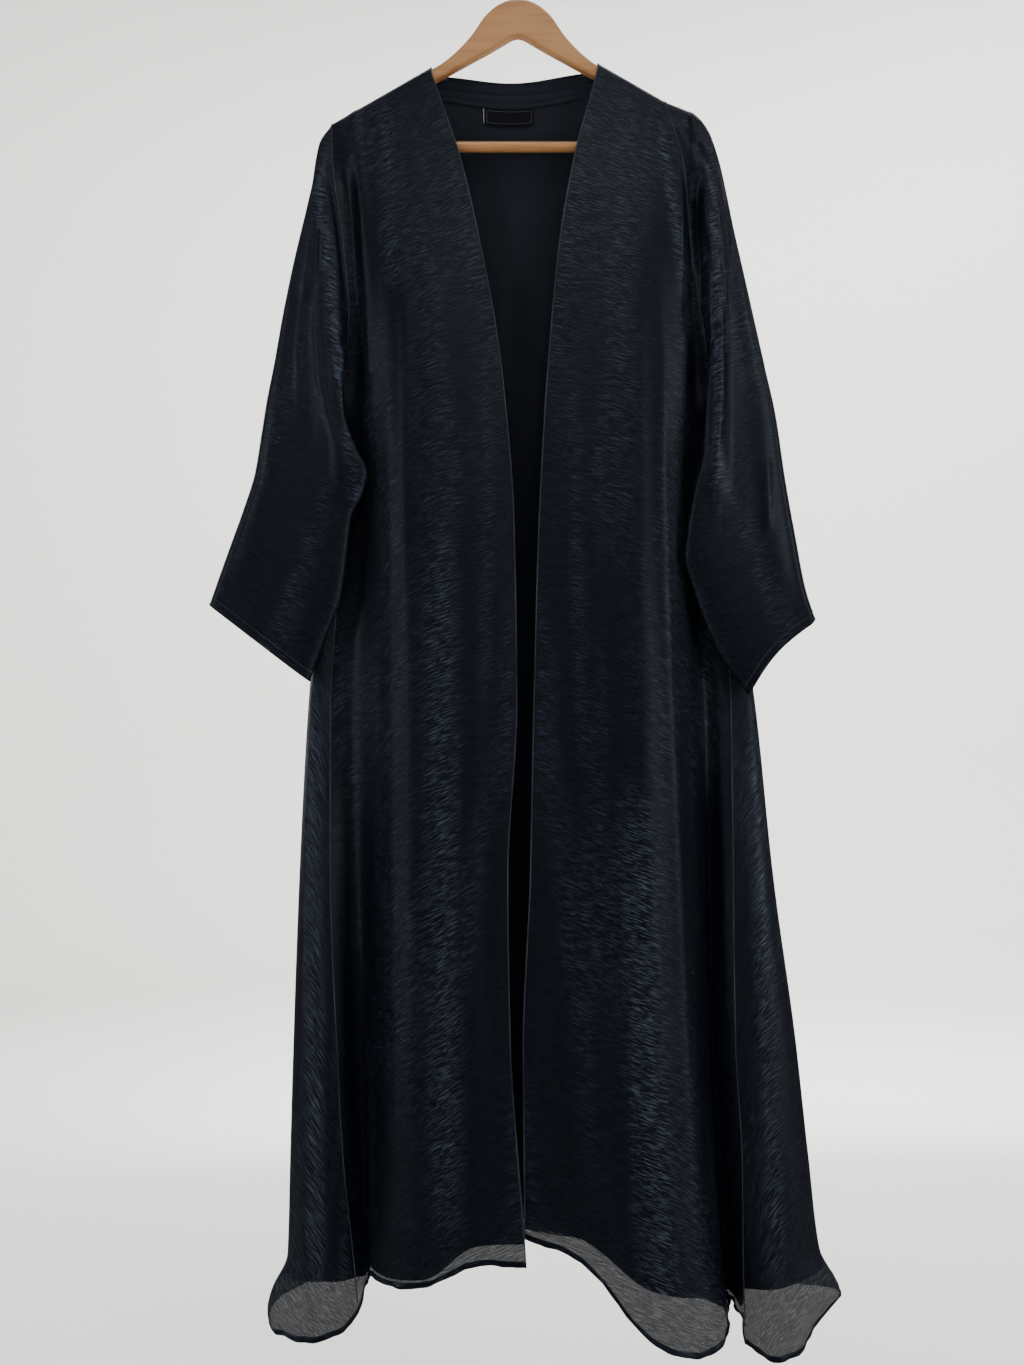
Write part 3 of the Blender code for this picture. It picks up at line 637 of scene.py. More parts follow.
def ribbon(name, line, across, outward, size, material, closed=False):
    """A flattened tube along a line: size is its width along across and its thickness."""
    around = 2 * np.pi * np.arange(RIBBON_SIDES) / RIBBON_SIDES
    width, thick = size
    rings = (line[:, None] + across[:, None] * (np.cos(around) * width / 2)[None, :, None]
             + outward[:, None] * (np.sin(around) * thick / 2)[None, :, None])
    rows = len(rings)
    faces = quads(rows, RIBBON_SIDES, closed, True)
    if not closed:
        faces.append(tuple(range(RIBBON_SIDES)))
        faces.append(tuple(reversed([(rows - 1) * RIBBON_SIDES + j for j in range(RIBBON_SIDES)])))
    mesh = new_mesh(name, in_metres(rings), faces, material)
    layer = mesh.uv_layers.new(name="Cloth")
    run = np.concatenate([[0], np.cumsum(np.linalg.norm(np.diff(line, axis=0), axis=1))])
    vertex_uv = np.stack([np.repeat(run, RIBBON_SIDES), np.tile(around * width / 6, rows)], axis=1) * MM
    loops = np.zeros(len(mesh.loops), dtype=int)
    mesh.loops.foreach_get("vertex_index", loops)
    layer.data.foreach_set("uv", vertex_uv[loops].reshape(-1))
    shape = bmesh.new()
    shape.from_mesh(mesh)
    bmesh.ops.recalc_face_normals(shape, faces=shape.faces)
    shape.to_mesh(mesh)
    shape.free()
    mesh.shade_smooth()
    return add_object(name, mesh)


def declare(piece, slot, *nodes):
    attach(piece, "root")
    if nodes:
        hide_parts(*nodes)
    return piece


# --- Materials ---

class Nodes:
    """A short way to lay out one material's nodes."""

    def __init__(self, name):
        self.material = bpy.data.materials.new(name)
        self.material.use_nodes = True
        self.tree = self.material.node_tree
        self.shader = self.tree.nodes["Principled BSDF"]

    def add(self, kind, inputs=(), **values):
        """A node with its settings; an input is given as a value or as the socket that feeds it."""
        node = self.tree.nodes.new("ShaderNode" + kind)
        for key, value in values.items():
            setattr(node, key, value)
        for key, value in dict(inputs).items():
            if isinstance(value, bpy.types.NodeSocket):
                self.tree.links.new(value, node.inputs[key])
            else:
                node.inputs[key].default_value = value
        return node

    def feed(self, socket, source):
        """Links a source to one of the shader's own sockets."""
        self.tree.links.new(source, self.shader.inputs[socket])

    def set(self, **values):
        for key, value in values.items():
            self.shader.inputs[key.replace("_", " ")].default_value = value

    def noise(self, scale, detail=2.0, roughness=0.5, distortion=0.0, turn=0.0, uv=True):
        """Noise along the cloth's own map, or along the object where it has none."""
        source = self.add("UVMap", uv_map="Cloth") if uv else self.add("TexCoord")
        mapping = self.add("Mapping", {"Scale": scale, "Rotation": (0, 0, math.radians(turn)),
                                       "Vector": source.outputs["UV" if uv else "Object"]})
        return self.add("TexNoise", {"Scale": 1.0, "Detail": detail, "Roughness": roughness,
                                     "Distortion": distortion,
                                     "Vector": mapping.outputs["Vector"]}).outputs["Fac"]

    def remap(self, value, low, high, to_low=0.0, to_high=1.0):
        return self.add("MapRange", {"Value": value, "From Min": low, "From Max": high,
                                     "To Min": to_low, "To Max": to_high},
                        interpolation_type="SMOOTHSTEP").outputs["Result"]

    def math(self, operation, first, second):
        return self.add("Math", {0: first, 1: second}, operation=operation).outputs["Value"]

    def mix(self, factor, first, second):
        node = self.add("Mix", {"Factor": factor}, data_type="RGBA")
        colours = [socket for socket in node.inputs if socket.type == "RGBA"]
        for socket, colour in zip(colours, (first, second)):
            socket.default_value = (*colour, 1.0)
        return [socket for socket in node.outputs if socket.type == "RGBA"][0]

    def bump(self, height, distance, strength=1.0):
        node = self.add("Bump", {"Distance": distance, "Strength": strength, "Height": height})
        self.feed("Normal", node.outputs["Normal"])


def crinkle_cloth(name, dark, light, sheer=False):
    """Crinkled shimmering cloth: short irregular lines along the weft.

    Their raised strokes are drawn in a lighter colour as painted glints; on opaque cloth these painted
    highlights fall in soft columns and where the painted highlight map says so."""
    nodes = Nodes(name)
    long_lines = nodes.noise((56, 860, 1), 2.0, 0.5, 0.3)
    short_lines = nodes.noise((105, 1500, 1), 1.0, 0.5, 0.2, turn=3.0)
    crinkle = nodes.math("ADD", nodes.math("MULTIPLY", long_lines, 0.6),
                         nodes.math("MULTIPLY", short_lines, 0.4))
    # Painted glints: the raised strokes of the crinkle, drawn in the lighter colour as if they caught
    # the light.
    painted_highlight = nodes.remap(crinkle, 0.50, 0.60)
    if sheer:
        nodes.feed("Alpha", nodes.remap(crinkle, 0.40, 0.60, 0.925, 0.995))
    else:
        # Painted highlight: soft vertical columns, and the ridges marked in the painted highlight map,
        # where the strokes are drawn lighter as if lit.
        columns = nodes.noise((17, 2.6, 1), 1.0)
        highlight_marks = nodes.add("SeparateXYZ", {"Vector": nodes.add("UVMap", uv_map="Shine").outputs["UV"]})
        painted_highlight_mask = nodes.math("MAXIMUM", highlight_marks.outputs["X"], nodes.remap(columns, 0.42, 0.66, 0.08, 0.36))
        painted_highlight = nodes.math("MULTIPLY", painted_highlight, painted_highlight_mask)
    # The lighter colour is painted glint; the darker one is the cloth's own navy black.
    nodes.feed("Base Color", nodes.mix(painted_highlight, dark, light))
    nodes.feed("Roughness", nodes.remap(crinkle, 0.35, 0.7, 0.46, 0.30))
    nodes.set(Sheen_Weight=0.01, Sheen_Roughness=0.4, Sheen_Tint=(0.55, 0.66, 0.85, 1.0),
              Specular_IOR_Level=0.23, Specular_Tint=(0.78, 0.87, 1.0, 1.0))
    nodes.bump(crinkle, 0.0007)
    return nodes.material


def plain_cloth(name, dark, light):
    """Plain matt lining, with a fine even weave."""
    nodes = Nodes(name)
    weave = nodes.noise((500, 900, 1), 1.0)
    broad = nodes.noise((9, 5, 1))
    nodes.feed("Base Color", nodes.mix(nodes.remap(broad, 0.3, 0.7), dark, light))
    nodes.feed("Roughness", nodes.remap(weave, 0.3, 0.7, 0.62, 0.76))
    nodes.set(Sheen_Weight=0.01, Sheen_Roughness=0.5, Sheen_Tint=(0.6, 0.68, 0.85, 1.0),
              Specular_IOR_Level=0.08)
    nodes.bump(weave, 0.00015, 0.6)
    return nodes.material


def wood(name, grain, broad):
    """Varnished pale wood: long fine grain and soft broad figure, each with its own scale."""
    nodes = Nodes(name)
    fine = nodes.noise(grain, 3.0, 0.6, uv=False)
    figure = nodes.noise(broad, 2.0, 0.5, 1.2, uv=False)
    both = nodes.math("ADD", nodes.math("MULTIPLY", fine, 0.55), nodes.math("MULTIPLY", figure, 0.45))
    pale, warm = (0.350, 0.168, 0.056), (0.255, 0.110, 0.031)
    nodes.feed("Base Color", nodes.mix(nodes.remap(both, 0.36, 0.64), pale, warm))
    nodes.feed("Roughness", nodes.remap(fine, 0.3, 0.7, 0.36, 0.5))
    nodes.set(Coat_Weight=0.3, Coat_Roughness=0.22)
    nodes.bump(fine, 0.0002, 0.35)
    return nodes.material


def steel(name):
    nodes = Nodes(name)
    rub = nodes.noise((300, 300, 60), uv=False)
    dull, bright = (0.60, 0.60, 0.59), (0.70, 0.70, 0.68)
    nodes.feed("Base Color", nodes.mix(nodes.remap(rub, 0.3, 0.7), dull, bright))
    nodes.feed("Roughness", nodes.remap(rub, 0.3, 0.7, 0.18, 0.30))
    nodes.set(Metallic=1.0)
    return nodes.material


def stage_paint(name, colour):
    nodes = Nodes(name)
    nodes.set(Base_Color=(*colour, 1.0), Roughness=0.9)
    return nodes.material


# Each crinkle cloth's second, lighter colour is painted glint on its raised strokes.
SHELL = crinkle_cloth("shell cloth", (0.0010, 0.0016, 0.0041), (0.048, 0.060, 0.086))
SHEER = crinkle_cloth("sheer cloth", (0.003, 0.004, 0.006), (0.034, 0.038, 0.046), sheer=True)
# The edge cloth is lighter than the shell as painted highlight: the lit line along the turned front
# edges, the raised seams and the cuff's stitching.
EDGE_CLOTH_PAINTED_HIGHLIGHT = plain_cloth("edge cloth with painted highlight", (0.014, 0.017, 0.024), (0.034, 0.040, 0.054))
LINING = plain_cloth("lining cloth", (0.0060, 0.0070, 0.0115), (0.0078, 0.0091, 0.0145))
BAND = plain_cloth("facing cloth", (0.0058, 0.0075, 0.0115), (0.0078, 0.0100, 0.0150))
LABEL_CLOTH = plain_cloth("label cloth", (0.0022, 0.0024, 0.0036), (0.0030, 0.0034, 0.0050))
LABEL_THREAD = plain_cloth("label thread", (0.020, 0.022, 0.027), (0.032, 0.034, 0.040))
LABEL_EDGE = plain_cloth("label edge", (0.14, 0.14, 0.145), (0.19, 0.19, 0.19))
WOOD = wood("yoke wood", (8, 200, 200), (5, 30, 22))
BAR_WOOD = wood("bar wood", (8, 240, 240), (4, 40, 40))
STEEL = steel("polished wire")


# --- Cloth pieces ---

def weft_droop(panel, points):
    """How far the weft hangs down toward a side seam, in millimetres of cloth."""
    last = len(panel.lines) - 1
    to_seam = panel.places / last if panel.front else np.abs(2 * panel.places / last - 1)
    low = np.clip((WEFT["from"] - points[:, :, 2]) / WEFT["over"], 0, 1)
    return WEFT[panel.name] * (to_seam ** WEFT["growth"])[None] * low


WEFT = {"front_right": 60.0, "front_left": 150.0, "back": 190.0,
        "from": -300, "over": 1200, "growth": 1.6}


def panel_uv(panel, points):
    across = arc_length(points, 1)
    if not panel.front:
        across = across - across[:, [points.shape[1] // 2]]
    down = arc_length(points, 0)
    return np.stack([across, -(down - weft_droop(panel, points))], axis=-1)


def make_panels(normals):
    for name, panel in PANELS.items():
        points = panel.points
        uv = panel_uv(panel, points)
        rows = len(points) - 1
        slots = [1 if i >= rows - HEM_ROWS else 0 for i in range(rows)]
        # Painted highlight along the panel's lit ridges, as a map for the shell cloth.
        painted_highlight = path_lift(points, normals[name], PAINTED_HIGHLIGHT_PATHS[name])
        shell = grid_mesh("shell_" + name + "_cloth", points, uv, [SHELL, SHEER], slots, painted_highlight=painted_highlight)
        declare(shell, "shell", "shell_" + name)
        lined = len(points) - HEM_ROWS
        inner = points[:lined] - normals[name][:lined] * LAYER
        if panel.front:
            inner = inner.copy()
            toward = unit(inner[:, 1] - inner[:, 0])
            inner[:, 0] = inner[:, 0] + toward * EDGE_INSET
        lining = grid_mesh("lining_" + name + "_cloth", inner, uv[:lined], [LINING])
        declare(lining, "lining", "lining_" + name)
        with_pieces = [make_hem(name, points, normals[name])]
        if panel.front:
            with_pieces.append(make_front_edge(name, points, normals[name]))
            with_pieces.append(make_side_seam(name, points, normals[name]))


def trim(name, line, across, outward, size, material, closed=False):
    return declare(ribbon(name, line, across, outward, size, material, closed), "shell")


def raised_seam(name, line, along, out, closed=False):
    """A seam that stands a little proud of the cloth, in lighter cloth as a painted highlight line."""
    return trim(name, line + out * SEAM["proud"], unit(np.cross(along, out)), out, SEAM["size"],
                EDGE_CLOTH_PAINTED_HIGHLIGHT, closed)


def make_hem(name, points, normals):
    """The narrow turned hem along a panel's lower edge."""
    up = unit(points[-2] - points[-1])
    line = points[-1] + up * HEM_SIZE[0] / 2
    return trim("hem_" + name, line, up, normals[-1], HEM_SIZE, SHELL)


def make_front_edge(name, points, normals):
    """The turned front edge, which stands a little proud of the panel; its lighter cloth is a painted
    highlight along the fold.
    """
    inward = unit(points[:, 1] - points[:, 0])
    line = points[:, 0] + inward * EDGE_SIZE[0] / 2
    return trim("edge_" + name, line, inward, normals[:, 0], EDGE_SIZE, EDGE_CLOTH_PAINTED_HIGHLIGHT)


def make_side_seam(name, points, normals):
    """The raised line of a side seam, from below the sleeve to the lining's edge, drawn lighter as a
    painted highlight line.
    """
    rows = slice(np.argmax(points[:, -1, 2] < SEAM["top"]), len(points) - HEM_ROWS // 3)
    line = points[rows, -1]
    return raised_seam("seam_" + name, line, unit(np.gradient(line, axis=0)), normals[rows, -1])


# Width and thickness of the trims, in millimetres.
SEAM = {"top": -560.0, "size": (1.6, 1.4), "proud": 0.2}
HEM_SIZE = (7.0, 1.7)
EDGE_SIZE = (1.5, 1.2)
CUFF = {"size": (2.4, 1.4), "turning": 10.0, "stitch": (0.9, 0.9)}


# --- Sleeves ---

def sleeve_rings(rows):
    """A sleeve's fine sections, each from its outer fold down its front and up its back."""
    table = np.array(rows, dtype=float)
    at = np.arange((len(rows) - 1) * SLEEVE_FINENESS + 1) / SLEEVE_FINENESS
    columns = [curve(range(len(rows)), table[:, k], at) for k in range(table.shape[1])]
    outer_x, outer_z, inner_x, inner_z, outer_y, inner_y, half, bow = columns
    outer = np.stack([outer_x, outer_y, outer_z], axis=-1)
    inner = np.stack([inner_x, inner_y, inner_z], axis=-1)
    down = unit(inner - outer)
    centre = outer + down * SLEEVE_ROLL
    side_of = np.sign(outer_x)
    up = unit(np.stack([-np.abs(down[:, 2]) * side_of, 0 * half, np.abs(down[:, 0])], axis=-1))
    backward = np.array((0.0, 1.0, 0.0))

    def rolled(angle, side):
        turn = math.radians(angle)
        return centre + SLEEVE_ROLL * (backward * side * math.sin(turn) - down * math.cos(turn))

    def layer(share, side):
        middle = centre + (inner - centre) * share + up * (bow * math.sin(math.pi * share))[:, None]
        return middle + backward * side * layer_depth(half, share)[:, None]

    ring = [rolled(angle, -1) for angle in FRONT_ROLL_ANGLES]
    ring += [layer(share, -1) for share in ARMHOLE_SHARES]
    ring += [layer(share, 1) for share in reversed(ARMHOLE_SHARES[:-1])]
    ring += [rolled(angle, 1) for angle in reversed(BACK_ROLL_ANGLES[1:])]
    return np.stack(ring, axis=1), at


def sleeve_folds(rings, at, folds):
    """Soft ridges on a sleeve: section and place round it at each end, width and how far out."""
    round_it = np.arange(rings.shape[1])[None] / len(ARMHOLE_SHARES)
    total = np.zeros(rings.shape[:2])
    for top, bottom, start, end, width, out in folds:
        down = np.clip((at - top) / (bottom - top), 0, 1)[:, None]
        centre = start + (end - start) * down
        along = ease(down / PATH_FADE) * ease((1 - down) / PATH_FADE)
        total += out * along * hump(round_it, centre, width)
    return total


SLEEVE_FOLDS = {
    "right": (
        (0.5, 9.0, 0.55, 0.95, 0.16, 2.4),
        (0.3, 7.0, 0.42, 0.60, 0.14, 1.4),
        (4.0, 12.5, 0.35, 0.45, 0.30, 1.2),
    ),
    "left": (
        (0.3, 9.0, 0.60, 0.90, 0.16, 3.0),
        (0.3, 6.0, 0.42, 0.62, 0.12, -2.0),
        (5.0, 12.5, 0.40, 0.50, 0.30, 1.4),
    ),
}


def sleeve_uv(points, outward):
    """The weft crosses a sleeve square to its length, which slants outward."""
    slant = math.radians(SLEEVE_SLANT) * outward
    x, z = points[..., 0], points[..., 2]
    return np.stack([x * math.cos(slant) + z * math.sin(slant),
                     z * math.cos(slant) - x * math.sin(slant)], axis=-1)


SLEEVE_SLANT = 20.0
SLEEVE_FADE = 0.7


def with_neighbours(rings):
    """The rings with their last column before the first and their first after the last."""
    return np.concatenate([rings[:, -1:], rings, rings[:, :1]], axis=1)


def make_sleeve(side, rows, outward):
    """A sleeve whose first ring meets the armhole and whose last is the open cuff."""
    front, back = PANELS["front_" + side], PANELS["back"]
    front_under, back_under = front.underarm_row, back.underarm_row
    column = 0 if outward < 0 else -1
    armhole = np.concatenate([front.points[:front_under + 1, -1],
                              back.points[back_under - 1:0:-1, column]])
    rings, at = sleeve_rings(rows)
    fade = np.clip(1 - at / CAP_SECTIONS, 0, 1)
    rings = rings + (armhole - rings[0])[None] * fade[:, None, None]
    out = normals_of(with_neighbours(rings), -outward)[:, 1:-1]
    lift = path_lift(rings, out, SLEEVE_PATHS[side]) * ease(at / SLEEVE_FADE)[:, None]
    rings = rings + out * (lift + sleeve_folds(rings, at, SLEEVE_FOLDS[side]))[:, :, None]
    rings[1:] = close_underarm(rings[1:], -SLEEVE_TOWARD_BODY)
    wrapped = np.concatenate([rings, rings[:, :1]], axis=1)
    uv = sleeve_uv(wrapped, outward)
    # Painted highlight along the sleeve's lit ridge, as a map for the shell cloth.
    painted_highlight = path_lift(rings, out, PAINTED_HIGHLIGHT_PATHS["sleeve_" + side])
    sleeve = grid_mesh("sleeve_" + side + "_cloth", rings, uv, [SHELL], closed=True, painted_highlight=painted_highlight)
    declare(sleeve, "shell", "sleeve_" + side)
    out = normals_of(with_neighbours(rings), -outward)[:, 1:-1]
    cuff = make_cuff(side, rings, out)
    cuff.append(raised_seam("armhole_" + side, rings[0], around_of(rings[0]), out[0], closed=True))


def around_of(line):
    """The direction along a closed line at each of its points."""
    return unit(np.roll(line, -1, axis=0) - np.roll(line, 1, axis=0))


def make_cuff(side, rings, out):
    """The turned edge of a cuff, and the stitching that holds its turning, drawn in lighter cloth as a
    painted highlight line.
    """
    up = unit(rings[-3] - rings[-1])
    edge = rings[-1] + up * CUFF["size"][0] / 2
    return [trim("cuff_" + side, edge, up, out[-1], CUFF["size"], SHELL, closed=True),
            trim("cuff_stitch_" + side, rings[-1] + up * CUFF["turning"], up, out[-1], CUFF["stitch"],
                 EDGE_CLOTH_PAINTED_HIGHLIGHT, closed=True)]


# --- Neck ---

def inside_back(name, points, material, slot, node):
    """A piece that lies on the inside of the back's lining."""
    facing = normals_of(points, -1)
    moved = points - facing * (2 * LAYER + BEHIND_LINING)
    uv = np.stack([arc_length(points, 1), -arc_length(points, 0)], axis=-1)
    piece = grid_mesh(name, moved, uv, [material])
    declare(piece, slot, node)


def make_neck():
    """The facing band with its pressed crease, and the bare label below it."""
    back = PANELS["back"]
    names = [line[0] for line in BACK]
    first = names.index("neck right") + NECK_BAND["inset"]
    last = names.index("neck left") - NECK_BAND["inset"]
    places = np.linspace(first, last, NECK_BAND["columns"])
    tops = np.array([back.roll_row(angle, places) for angle in BACK_ROLL_ANGLES])
    base, edge = tops[-1, :, 2], tops[0, :, 2] - NECK_BAND["height"]
    down = steps(NECK_BAND["rows"])
    band = np.concatenate([tops, back.at_heights(base + down * (edge - base), places)])
    above = band[:, :, 2] - (tops[0, :, 2] + edge) / 2
    crease, width = NECK_BAND["crease"], NECK_BAND["crease_width"]
    band[:, :, 1] += crease * hump(above, 0.0, width)
    band[:, :, 1] -= crease * hump(above + NECK_BAND["crease_apart"], 0.0, width)
    inside_back("neck_band_cloth", band, BAND, "lining", "neck_band")
    tops = back.tops(back.places)
    places = np.interp(np.linspace(*LABEL["x"], LABEL["columns"]), tops, back.places)
    start = back.roll_row(SEAM_ANGLE, places)[:, 2] - NECK_BAND["height"] - LABEL["drop"]
    down = np.linspace(0, 1, LABEL["rows"])[:, None]
    label = back.at_heights(start - down * LABEL["height"], places)
    inside_back("neck_label_cloth", label, LABEL_CLOTH, "label", "neck_label")
    make_label_border(label)


def make_label_border(label):
    """A plain woven frame on the bare label, and the light cut end of its fold."""
    face = label - normals_of(label, -1) * (2 * LAYER + LABEL["frame_behind"])
    rows, columns = LABEL["frame"]
    path = ([face[rows[0], j] for j in range(columns[0], columns[1])]
            + [face[i, columns[1]] for i in range(rows[0], rows[1])]
            + [face[rows[1], j] for j in range(columns[1], columns[0], -1)]
            + [face[i, columns[0]] for i in range(rows[1], rows[0], -1)])
    line = np.array(path)
    forward, right = (0.0, -1.0, 0.0), (1.0, 0.0, 0.0)
    declare(ribbon("label_border", line, unit(np.cross(around_of(line), forward)),
                   np.broadcast_to(forward, line.shape), LABEL["frame_size"], LABEL_THREAD, closed=True),
            "label")
    end = face[1:-1, 0] + LABEL["end_shift"]
    declare(ribbon("label_end", end, np.broadcast_to(right, end.shape),
                   np.broadcast_to(forward, end.shape), LABEL["end_size"], LABEL_EDGE), "label")


# --- Hanger ---

YOKE = {"half": 216.0, "thick": 12.0, "round": 4.8, "clear": 3.4, "top": -55.0, "notch": -97.0}
# Outlines as x and height; those of FOOT are measured inward from the yoke's end.
HUMP = ((10, -55.8), (18, -58.6), (26, -63.2), (34, -70), (40, -76.5), (47, -87), (55, -98),
        (65, -109), (76, -119.5), (90, -130))
FOOT = ((0, -227), (4, -235), (10, -238), (17, -236), (20, -232), (20, -212), (32, -200))
HEEL_POINTS = 5
ARM_START = 110
UNDERSIDE = ((93, -147), (30, -112.5), (14, -103), (6, -98.5))
BAR = {"radius": 6.0, "height": -222.4, "half": 195.7, "bevel": 1, "stations": 60, "sides": 48}
HOOK = {"wire": 2.0, "radius": 21.0, "foot": -54.7, "neck": -50.0, "bend": ((1, -46.5), (5, -42)),
        "loop": (-58, 206, 12)}


def through(points, steps):
    """A smooth line through points: a Catmull-Rom curve, with its ends kept."""
    points = [np.array(p, dtype=float) for p in points]
    ends = [2 * points[0] - points[1], *points, 2 * points[-1] - points[-2]]
    line = []
    for p0, p1, p2, p3 in zip(ends, ends[1:], ends[2:], ends[3:]):
        for k in range(steps):
            u = k / steps
            line.append(0.5 * (2 * p1 + (p2 - p0) * u + (2 * p0 - 5 * p1 + 4 * p2 - p3) * u * u
                               + (3 * p1 - p0 - 3 * p2 + p3) * u ** 3))
    return [tuple(p) for p in line] + [tuple(points[-1])]


def make_yoke():
    """The flat yoke: its outline, swept through its thickness with rounded rims."""
    half, clear = YOKE["half"], YOKE["clear"]
    top = through([(0, YOKE["top"]), *HUMP, (ARM_START, ridge(ARM_START) - clear)], 6)
    tip = through([(half - 10, ridge(half - 10) - clear), (half - 3, ridge(half) - clear - 3),
                   (half, ridge(half) - clear - 10)], 5)
    foot = [(half - inward, z) for inward, z in FOOT]
    heel = through(foot[:HEEL_POINTS], 5)
    under = through([*UNDERSIDE[1:], (0, YOKE["notch"])], 6)
    side = top[1:] + tip + heel + foot[HEEL_POINTS:] + [UNDERSIDE[0]] + under[:-1]
    outline = [(0, YOKE["top"])] + side + [(0, YOKE["notch"])] + [(-x, z) for x, z in reversed(side)]
    shape = bmesh.new()
    front = -YOKE["thick"] / 2 * MM
    face = shape.faces.new([shape.verts.new((x * MM, front, z * MM)) for x, z in outline])
    swept = bmesh.ops.extrude_face_region(shape, geom=[face])
    moved = [v for v in swept["geom"] if isinstance(v, bmesh.types.BMVert)]
    bmesh.ops.translate(shape, verts=moved, vec=(0, YOKE["thick"] * MM, 0))
    bmesh.ops.recalc_face_normals(shape, faces=shape.faces)
    rims = [e for e in shape.edges if abs(e.verts[0].co.y - e.verts[1].co.y) < 1e-5]
    bmesh.ops.bevel(shape, geom=rims, offset=YOKE["round"] * MM, segments=5, profile=0.5,
                    affect="EDGES", clamp_overlap=True)
    mesh = bpy.data.meshes.new("yoke")
    shape.to_mesh(mesh)
    shape.free()
    mesh.materials.append(WOOD)
    mesh.shade_smooth()
    mesh.set_sharp_from_angle(angle=math.radians(50))
    declare(add_object("yoke", mesh), "wood", "hanger_body")


def turned(name, profile, sides, material):
    """A round piece turned about X from (x, radius) points."""
    around = 2 * np.pi * np.arange(sides) / sides
    verts = [(x * MM, r * math.cos(a) * MM, r * math.sin(a) * MM) for x, r in profile for a in around]
    faces = [(a, d, c, b) for a, b, c, d in quads(len(profile), sides, wrap_columns=True)]
    faces += [tuple(reversed(range(sides))), tuple((len(profile) - 1) * sides + j for j in range(sides))]
    mesh = new_mesh(name, verts, faces, material)
    mesh.shade_smooth()
    mesh.set_sharp_from_angle(angle=math.radians(40))
    return add_object(name, mesh)


def make_bar():
    half, radius, bevel = BAR["half"], BAR["radius"], BAR["bevel"]
    stations = np.linspace(bevel - half, half - bevel, BAR["stations"])
    profile = [(-half, radius - bevel), *((x, radius) for x in stations), (half, radius - bevel)]
    bar = turned("trouser_bar", profile, BAR["sides"], BAR_WOOD)
    bar.location.z = BAR["height"] * MM
    declare(bar, "wood", "hanger_bar")


def make_hook():
    """A round wire along the hook's line, from the yoke's top round the loop."""
    radius, wire = HOOK["radius"], HOOK["wire"]
    middle = wire - radius
    route = [(0, HOOK["foot"]), (0, HOOK["neck"]), *HOOK["bend"]]
    for angle in range(*HOOK["loop"]):
        turn = math.radians(angle)
        route.append((radius * math.cos(turn), middle + radius * math.sin(turn)))
    line = through(route, 5)
    data = bpy.data.curves.new("hook", "CURVE")
    data.dimensions = "3D"
    data.bevel_depth = wire * MM
    data.bevel_resolution = 5
    data.use_fill_caps = True
    spline = data.splines.new("POLY")
    spline.points.add(len(line) - 1)
    for point, (x, z) in zip(spline.points, line):
        point.co = (x * MM, 0, z * MM, 1)
    data.materials.append(STEEL)
    declare(add_object("hook", data), "steel", "hanger_hook")


# --- Stage, lights and camera ---

CAMERA = {"x": -6.9, "y": -1306.0, "z": -838.0, "focal_px": 1136.0, "frame_px": 1365.0, "sensor": 36.0}
FLOOR = -1.80
SWEEP = {"radius": 3.2, "round": 0.7, "height": 6.5, "sides": 96}


def make_stage():
    """A pale floor that sweeps up all round into a plain pale wall."""
    radius, bend = SWEEP["radius"], SWEEP["round"]
    profile = [(0.0, 0.0), (radius - bend, 0.0)]
    profile += [(radius - bend + bend * math.sin(a), bend - bend * math.cos(a))
                for a in np.linspace(0.1, math.pi / 2, 14)]
    profile.append((radius, SWEEP["height"]))
    sides = SWEEP["sides"]
    verts = []
    for r, z in profile:
        for k in range(sides):
            turn = 2 * math.pi * k / sides
            verts.append((r * math.cos(turn), r * math.sin(turn), FLOOR + z))
    faces = quads(len(profile), sides, wrap_columns=True)
    mesh = new_mesh("sweep", verts, faces, stage_paint("pale floor", (0.80, 0.79, 0.77)))
    mesh.shade_smooth()
    sweep = add_object("sweep", mesh)
    sweep.visible_glossy = False


def area_light(name, place, target, size, power, colour):
    data = bpy.data.lights.new(name, "AREA")
    data.shape = "RECTANGLE"
    data.size, data.size_y = size
    data.energy = power
    data.color = colour
    light = add_object(name, data)
    light.location = place
    light.rotation_euler = (Vector(target) - Vector(place)).to_track_quat("-Z", "Y").to_euler()
    light.visible_camera = False


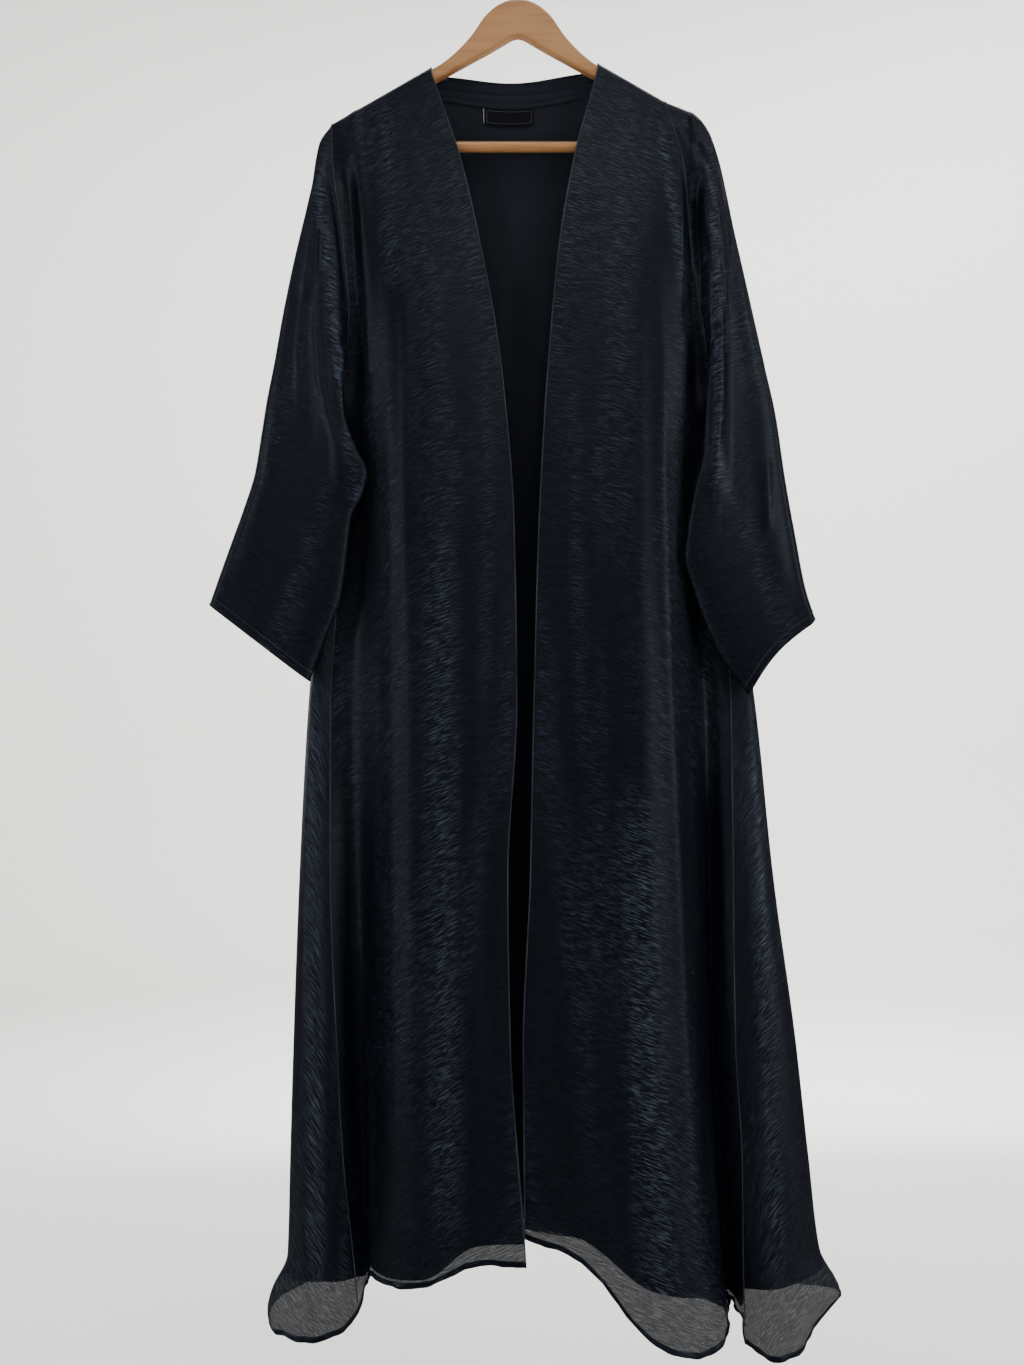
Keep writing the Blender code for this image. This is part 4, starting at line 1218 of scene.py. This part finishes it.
# Area lights: name, place, what it faces, size, watts and colour.
MIDDLE = (0.0, 0.0, -0.8)
WHITE, COOL, COOLER = (1, 1, 1), (0.96, 0.98, 1.0), (0.93, 0.96, 1.0)
LIGHTS = (
    ("right strip", (1.9, -1.3, -0.4), MIDDLE, (0.4, 2.4), 22, COOL),
    ("left strip", (-1.9, -1.3, -0.4), MIDDLE, (0.3, 2.4), 17, COOLER),
    ("high front", (0.1, -2.7, 1.3), MIDDLE, (1.8, 0.6), 5, WHITE),
    ("top", (0.3, -1.2, 2.0), MIDDLE, (1.2, 0.6), 20, WHITE),
    ("back right", (1.5, 1.7, 0.0), MIDDLE, (0.4, 2.0), 22, COOL),
    ("back left", (-1.6, 1.5, -0.3), MIDDLE, (0.3, 2.0), 16, COOLER),
    ("wall", (0.5, 0.9, 1.4), (0.4, 3.2, -0.6), (2.4, 1.2), 150, WHITE),
    ("wall low", (0.5, 1.0, -1.2), (0.4, 3.2, -1.4), (2.4, 0.5), 30, WHITE),
)
WORLD = {"colour": (0.93, 0.95, 1.0, 1.0), "strength": 0.16}


def light_stage():
    world = bpy.data.worlds.new("studio")
    world.use_nodes = True
    background = world.node_tree.nodes["Background"]
    background.inputs["Color"].default_value = WORLD["colour"]
    background.inputs["Strength"].default_value = WORLD["strength"]
    bpy.context.scene.world = world
    for light in LIGHTS:
        area_light(*light)


def make_camera():
    """The photograph's camera: level, with the lens that its focal length in pixels gives."""
    data = bpy.data.cameras.new("camera")
    data.sensor_fit = "VERTICAL"
    data.sensor_height = CAMERA["sensor"]
    data.lens = CAMERA["focal_px"] / CAMERA["frame_px"] * CAMERA["sensor"]
    camera = add_object("camera", data)
    camera.location = (CAMERA["x"] * MM, CAMERA["y"] * MM, CAMERA["z"] * MM)
    camera.rotation_euler = (math.pi / 2, 0, 0)
    bpy.context.scene.camera = camera


make_camera()
make_stage()
light_stage()
make_panels(dress_panels())
make_sleeve("right", SLEEVE_RIGHT, -1)
make_sleeve("left", SLEEVE_LEFT, 1)
make_neck()
make_yoke()
make_bar()
make_hook()
